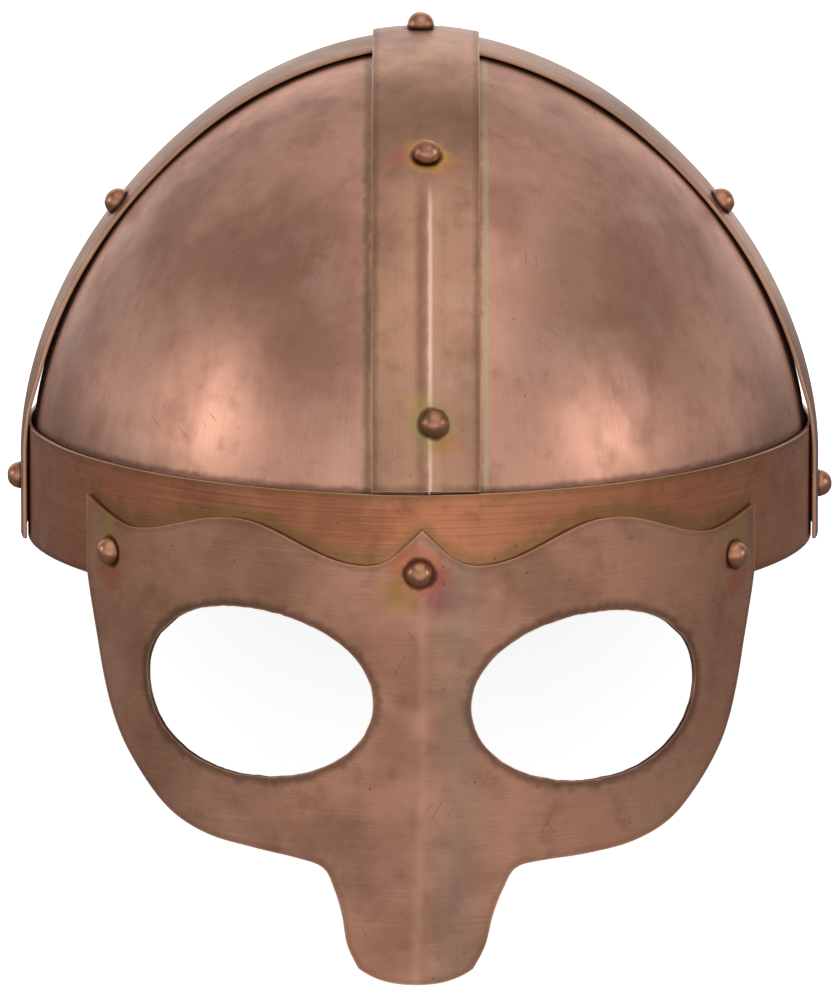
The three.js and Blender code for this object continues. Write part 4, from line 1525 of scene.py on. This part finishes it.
BAND_FINISH = AgedCopper(
    "brushed antique copper, riveted bands",
    base="b4886f",
    deep="785745",
    pale="d2ab94",
    seed=2.0,
    stroke_length=40.0,
    stroke_share=0.12,
    stains_and_painted_light=(
        StainOrPaintedLight(Distance.FIRST, 0.8, 1.6, "5a4330", 0.4, 0.5),
        StainOrPaintedLight(Distance.SECOND, 0.5, 2.2, "4b3a2b", 0.45, 0.8),
        StainOrPaintedLight(Distance.SECOND, 108.0, 28.0, "76543f", 0.55, 3.0),
        # painted light along the fore-and-aft band's ridge: a pale highlight on its right flank, a
        # brighter highlight on its crest and shade on its left flank, ending some 82 mm from each end
        StainOrPaintedLight(Distance.THIRD, 1.6, 2.6, "d9a88c", 0.45, 0.4, -0.2, 82.0),
        StainOrPaintedLight(Distance.THIRD, 0.2, 0.9, "f4cfb6", 0.6, 0.15, -0.5, 82.0),
        StainOrPaintedLight(Distance.THIRD, -2.0, 1.8, "7d5340", 0.4, 0.4, 0.2, 82.0),
    ),
    halos=(
        Halo("front_upper", (0, 0), 3.6, 7.5, "d3a84e", 0.7),
        Halo("front_upper", (-6, -1), 1.0, 6.5, "b4605a", 0.5),
        Halo("front_upper", (5, -5), 1.0, 6.5, "c97a3e", 0.45),
        Halo("front_lower", (0, 0), 3.6, 9.5, "a0985a", 0.45),
        Halo("front_lower", (3, -5), 1.0, 5.5, "bd7a42", 0.45),
        Halo("front_lower", (-5, 5), 1.0, 5.5, "c2a045", 0.4),
        # rings of painted shade round the foot of each rivet head
        painted_shade_ring("front_upper"),
        painted_shade_ring("front_lower"),
        painted_shade_ring("crown"),
        painted_shade_ring("rear_upper"),
        painted_shade_ring("rear_lower"),
        painted_shade_ring("left_upper"),
        painted_shade_ring("right_upper"),
        painted_shade_ring("ear_left"),
        painted_shade_ring("ear_right"),
    ),
)
BROW_FINISH = AgedCopper(
    "brushed antique copper, rolled brow band",
    base="bd7b5a",
    deep="7c4b36",
    pale="d59a7a",
    seed=3.0,
    stroke_length=60.0,
    stroke_share=0.4,
    stains_and_painted_light=(
        StainOrPaintedLight(Distance.FIRST, 1.4, 3.6, "6f6a3c", 0.45),
        StainOrPaintedLight(Distance.THIRD, 0.6, 1.6, "6b5a3a", 0.4, 0.5),
        StainOrPaintedLight(Distance.SECOND, 0.5, 2.0, "5a4030", 0.4, 0.8),
    ),
)
MASK_FINISH = AgedCopper(
    "brushed antique copper, bent mask plate",
    base="bd8b72",
    deep="7d5b48",
    pale="d3a68f",
    seed=4.0,
    roughness=0.42,
    stroke_length=22.0,
    stroke_share=0.22,
    scratch_share=0.4,
    stains_and_painted_light=(
        StainOrPaintedLight(Distance.FIRST, 1.0, 2.4, "4a372b", 0.5, 1.0),
        # painted reflections on the nasal: greyer right of the crease and pinker left of it, and a pale
        # painted highlight down the crease itself
        StainOrPaintedLight(Distance.SECOND, 9.0, 9.0, "8f8478", 0.3),
        StainOrPaintedLight(Distance.SECOND, -9.0, 9.0, "b87f6c", 0.25),
        StainOrPaintedLight(Distance.SECOND, 0.0, 2.2, "d9ab92", 0.16, 0.2, -0.4),
        StainOrPaintedLight(Distance.THIRD, 0.9, 1.2, "5a4334", 0.2, 0.4),
    ),
    halos=(
        Halo("mask_centre", (0, 0), 3.5, 10.0, "b5522e", 0.5),
        Halo("mask_centre", (5, -5), 1.0, 8.0, "8e4058", 0.28),
        Halo("mask_centre", (-5, -5), 1.0, 8.0, "9a9440", 0.3),
        Halo("mask_left", (0, 6), 1.0, 7.0, "b09a48", 0.45),
        Halo("mask_left", (0, -6), 1.0, 7.0, "b25a34", 0.45),
        Halo("mask_right", (0, 6), 1.0, 7.0, "b09a48", 0.45),
        Halo("mask_right", (0, -6), 1.0, 7.0, "b25a34", 0.45),
        # rings of painted shade round the foot of each rivet head
        painted_shade_ring("mask_left"),
        painted_shade_ring("mask_centre"),
        painted_shade_ring("mask_right"),
    ),
)
RIVET_FINISH = AgedCopper(
    "hammered copper, rivets",
    base="b98468",
    deep="7a5340",
    pale="d3a184",
    seed=5.0,
    roughness=0.3,
    cloud_size=6.0,
    mottle_size=2.0,
    stroke_share=0.1,
    # painted shade round the foot of the head, where it meets the sheet
    stains_and_painted_light=(StainOrPaintedLight(Distance.SECOND, -0.1, 0.8, "2e211a", 0.8, 0.2),),
)


@dataclass
class Studio:
    """Pale floor, soft lights and the camera at the photograph's angle to the helmet."""

    rest: Rest
    camera_lift_deg: float = 9.65  # above the plane of the brow band
    camera_distance: float = 3500.0
    aim_level: float = 9.4
    lens_mm: float = 495.9
    floor_half: float = 6.0
    # brightness of the room from the front, at 0, by the sides to the back, at 1
    room_light: tuple[tuple[float, float], ...] = ((0.0, 1.3), (0.4, 0.32), (0.76, 0.3), (0.97, 1.3))
    floor_tone: str = "f6f6f6"
    floor_cast: str = "929292"  # what the helmet gets back from the floor, as from grey card
    floor_glow: float = 0.8
    back_glow: float = 0.75
    back_from: float = 0.2  # metres behind the helmet's middle
    back_full: float = 0.36

    def build(self) -> None:
        """Makes the whole set."""
        self.set_camera()
        self.lay_floor()
        self.hang_lights()
        bpy.context.scene.view_settings.view_transform = "Standard"

    def set_camera(self) -> None:
        """Puts the camera in front of the helmet, a little above its brow."""
        lift = math.radians(self.camera_lift_deg)
        away = np.array([0, -math.cos(lift), math.sin(lift)]) * self.camera_distance
        aim = np.array([0, 0, self.aim_level])
        eye, target = (Vector(self.rest.place(place)) for place in (aim + away, aim))
        data = bpy.data.cameras.new("camera")
        data.lens = self.lens_mm
        data.sensor_width = 36.0
        data.clip_end = 100.0
        camera = bpy.data.objects.new("camera", data)
        camera.location = eye
        camera.rotation_euler = (target - eye).to_track_quat("-Z", "Y").to_euler()
        bpy.context.scene.collection.objects.link(camera)
        bpy.context.scene.camera = camera

    def lay_floor(self) -> None:
        """Lays the pale floor, a matt light table that is brighter behind the helmet."""
        half = self.floor_half
        mesh = bpy.data.meshes.new("floor")
        corners = [(-half, -half, 0), (half, -half, 0), (half, half, 0), (-half, half, 0)]
        mesh.from_pydata(corners, [], [(0, 1, 2, 3)])
        floor = bpy.data.objects.new("floor", mesh)
        bpy.context.scene.collection.objects.link(floor)
        paper = bpy.data.materials.new("opal acrylic, a light table")
        paper.use_nodes = True
        shader = paper.node_tree.nodes["Principled BSDF"]
        seen = add(paper.node_tree, "ShaderNodeLightPath", {})
        tone = {0: seen, 6: srgb(self.floor_cast), 7: srgb(self.floor_tone)}
        tone = add(paper.node_tree, "ShaderNodeMix", tone, 2, data_type="RGBA")
        paper.node_tree.links.new(tone, shader.inputs["Base Color"])
        behind = add(paper.node_tree, "ShaderNodeTexCoord", {}, 3)
        behind = add(paper.node_tree, "ShaderNodeSeparateXYZ", {0: behind}, 1)
        behind = {0: behind, 1: self.back_from, 2: self.back_full, 4: self.back_glow}
        behind = add(paper.node_tree, "ShaderNodeMapRange", behind)
        glow = add(paper.node_tree, "ShaderNodeMix", {0: seen, 2: behind, 3: self.floor_glow})
        paper.node_tree.links.new(glow, shader.inputs["Emission Strength"])
        shader.inputs["Emission Color"].default_value = srgb("ffffff")
        shader.inputs["Roughness"].default_value = 0.9
        mesh.materials.append(paper)

    def hang_lights(self) -> None:
        """Hangs soft boxes round the helmet and lights the room evenly."""
        world = bpy.data.worlds.new("white studio")
        world.use_nodes = True
        background = world.node_tree.nodes["Background"]
        tree = world.node_tree
        way = add(tree, "ShaderNodeTexCoord", {})
        way = add(tree, "ShaderNodeSeparateXYZ", {0: way}, 1)
        way = add(tree, "ShaderNodeMapRange", {0: way, 1: -1.0, 2: 1.0})
        ramp = add(tree, "ShaderNodeValToRGB", {0: way})
        stops = ramp.node.color_ramp.elements
        while len(stops) < len(self.room_light):
            stops.new(0.5)
        for stop, (place, light) in zip(stops, self.room_light):
            stop.position = place
            stop.color = (light, light, light, 1)
        tree.links.new(ramp, background.inputs["Color"])
        bpy.context.scene.world = world
        boxes = (
            ("left box", (-2.0, -0.1, 0.7), 0.85, 6.0),
            ("right box", (1.95, -0.4, 0.75), 0.8, 5.5),
            ("top box", (0.2, 0.0, 2.4), 2.6, 17.0),
        )
        for name, place, width, watts in boxes:
            light = bpy.data.lights.new(name, "AREA")
            light.shape = "SQUARE"
            light.size = width
            light.energy = watts
            lamp = bpy.data.objects.new(name, light)
            lamp.location = place
            aim = Vector((0, 0, 0.08)) - Vector(place)
            lamp.rotation_euler = aim.to_track_quat("-Z", "Y").to_euler()
            bpy.context.scene.collection.objects.link(lamp)


def main() -> None:
    """Builds the helmet's sub-assemblies in order, then the studio."""
    logging.basicConfig(level=logging.INFO, format="%(name)s: %(message)s")
    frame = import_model()
    work = Sheetwork()
    rest = Rest.from_record(frame["record"], work)
    Studio(rest).build()
    mask = SpectacleMask(work, rest)
    rivets = Rivets(work, rest, mask=mask)
    seats = {place.name: place.seat for place in rivets.seats()}
    band = BAND_FINISH.dress(seats)
    Dome(work, rest, DOME_FINISH.dress(seats)).build()
    BrowBand(work, rest, BROW_FINISH.dress(seats), mask_edge=mask.top_over).build()
    CrossBand(work, rest, band).build()
    ForeAftBand(work, rest, band).build()
    mask.finish = MASK_FINISH.dress(seats)
    mask.build()
    rivets.finish = RIVET_FINISH.dress(seats)
    rivets.build()


if __name__ == "__main__":
    main()
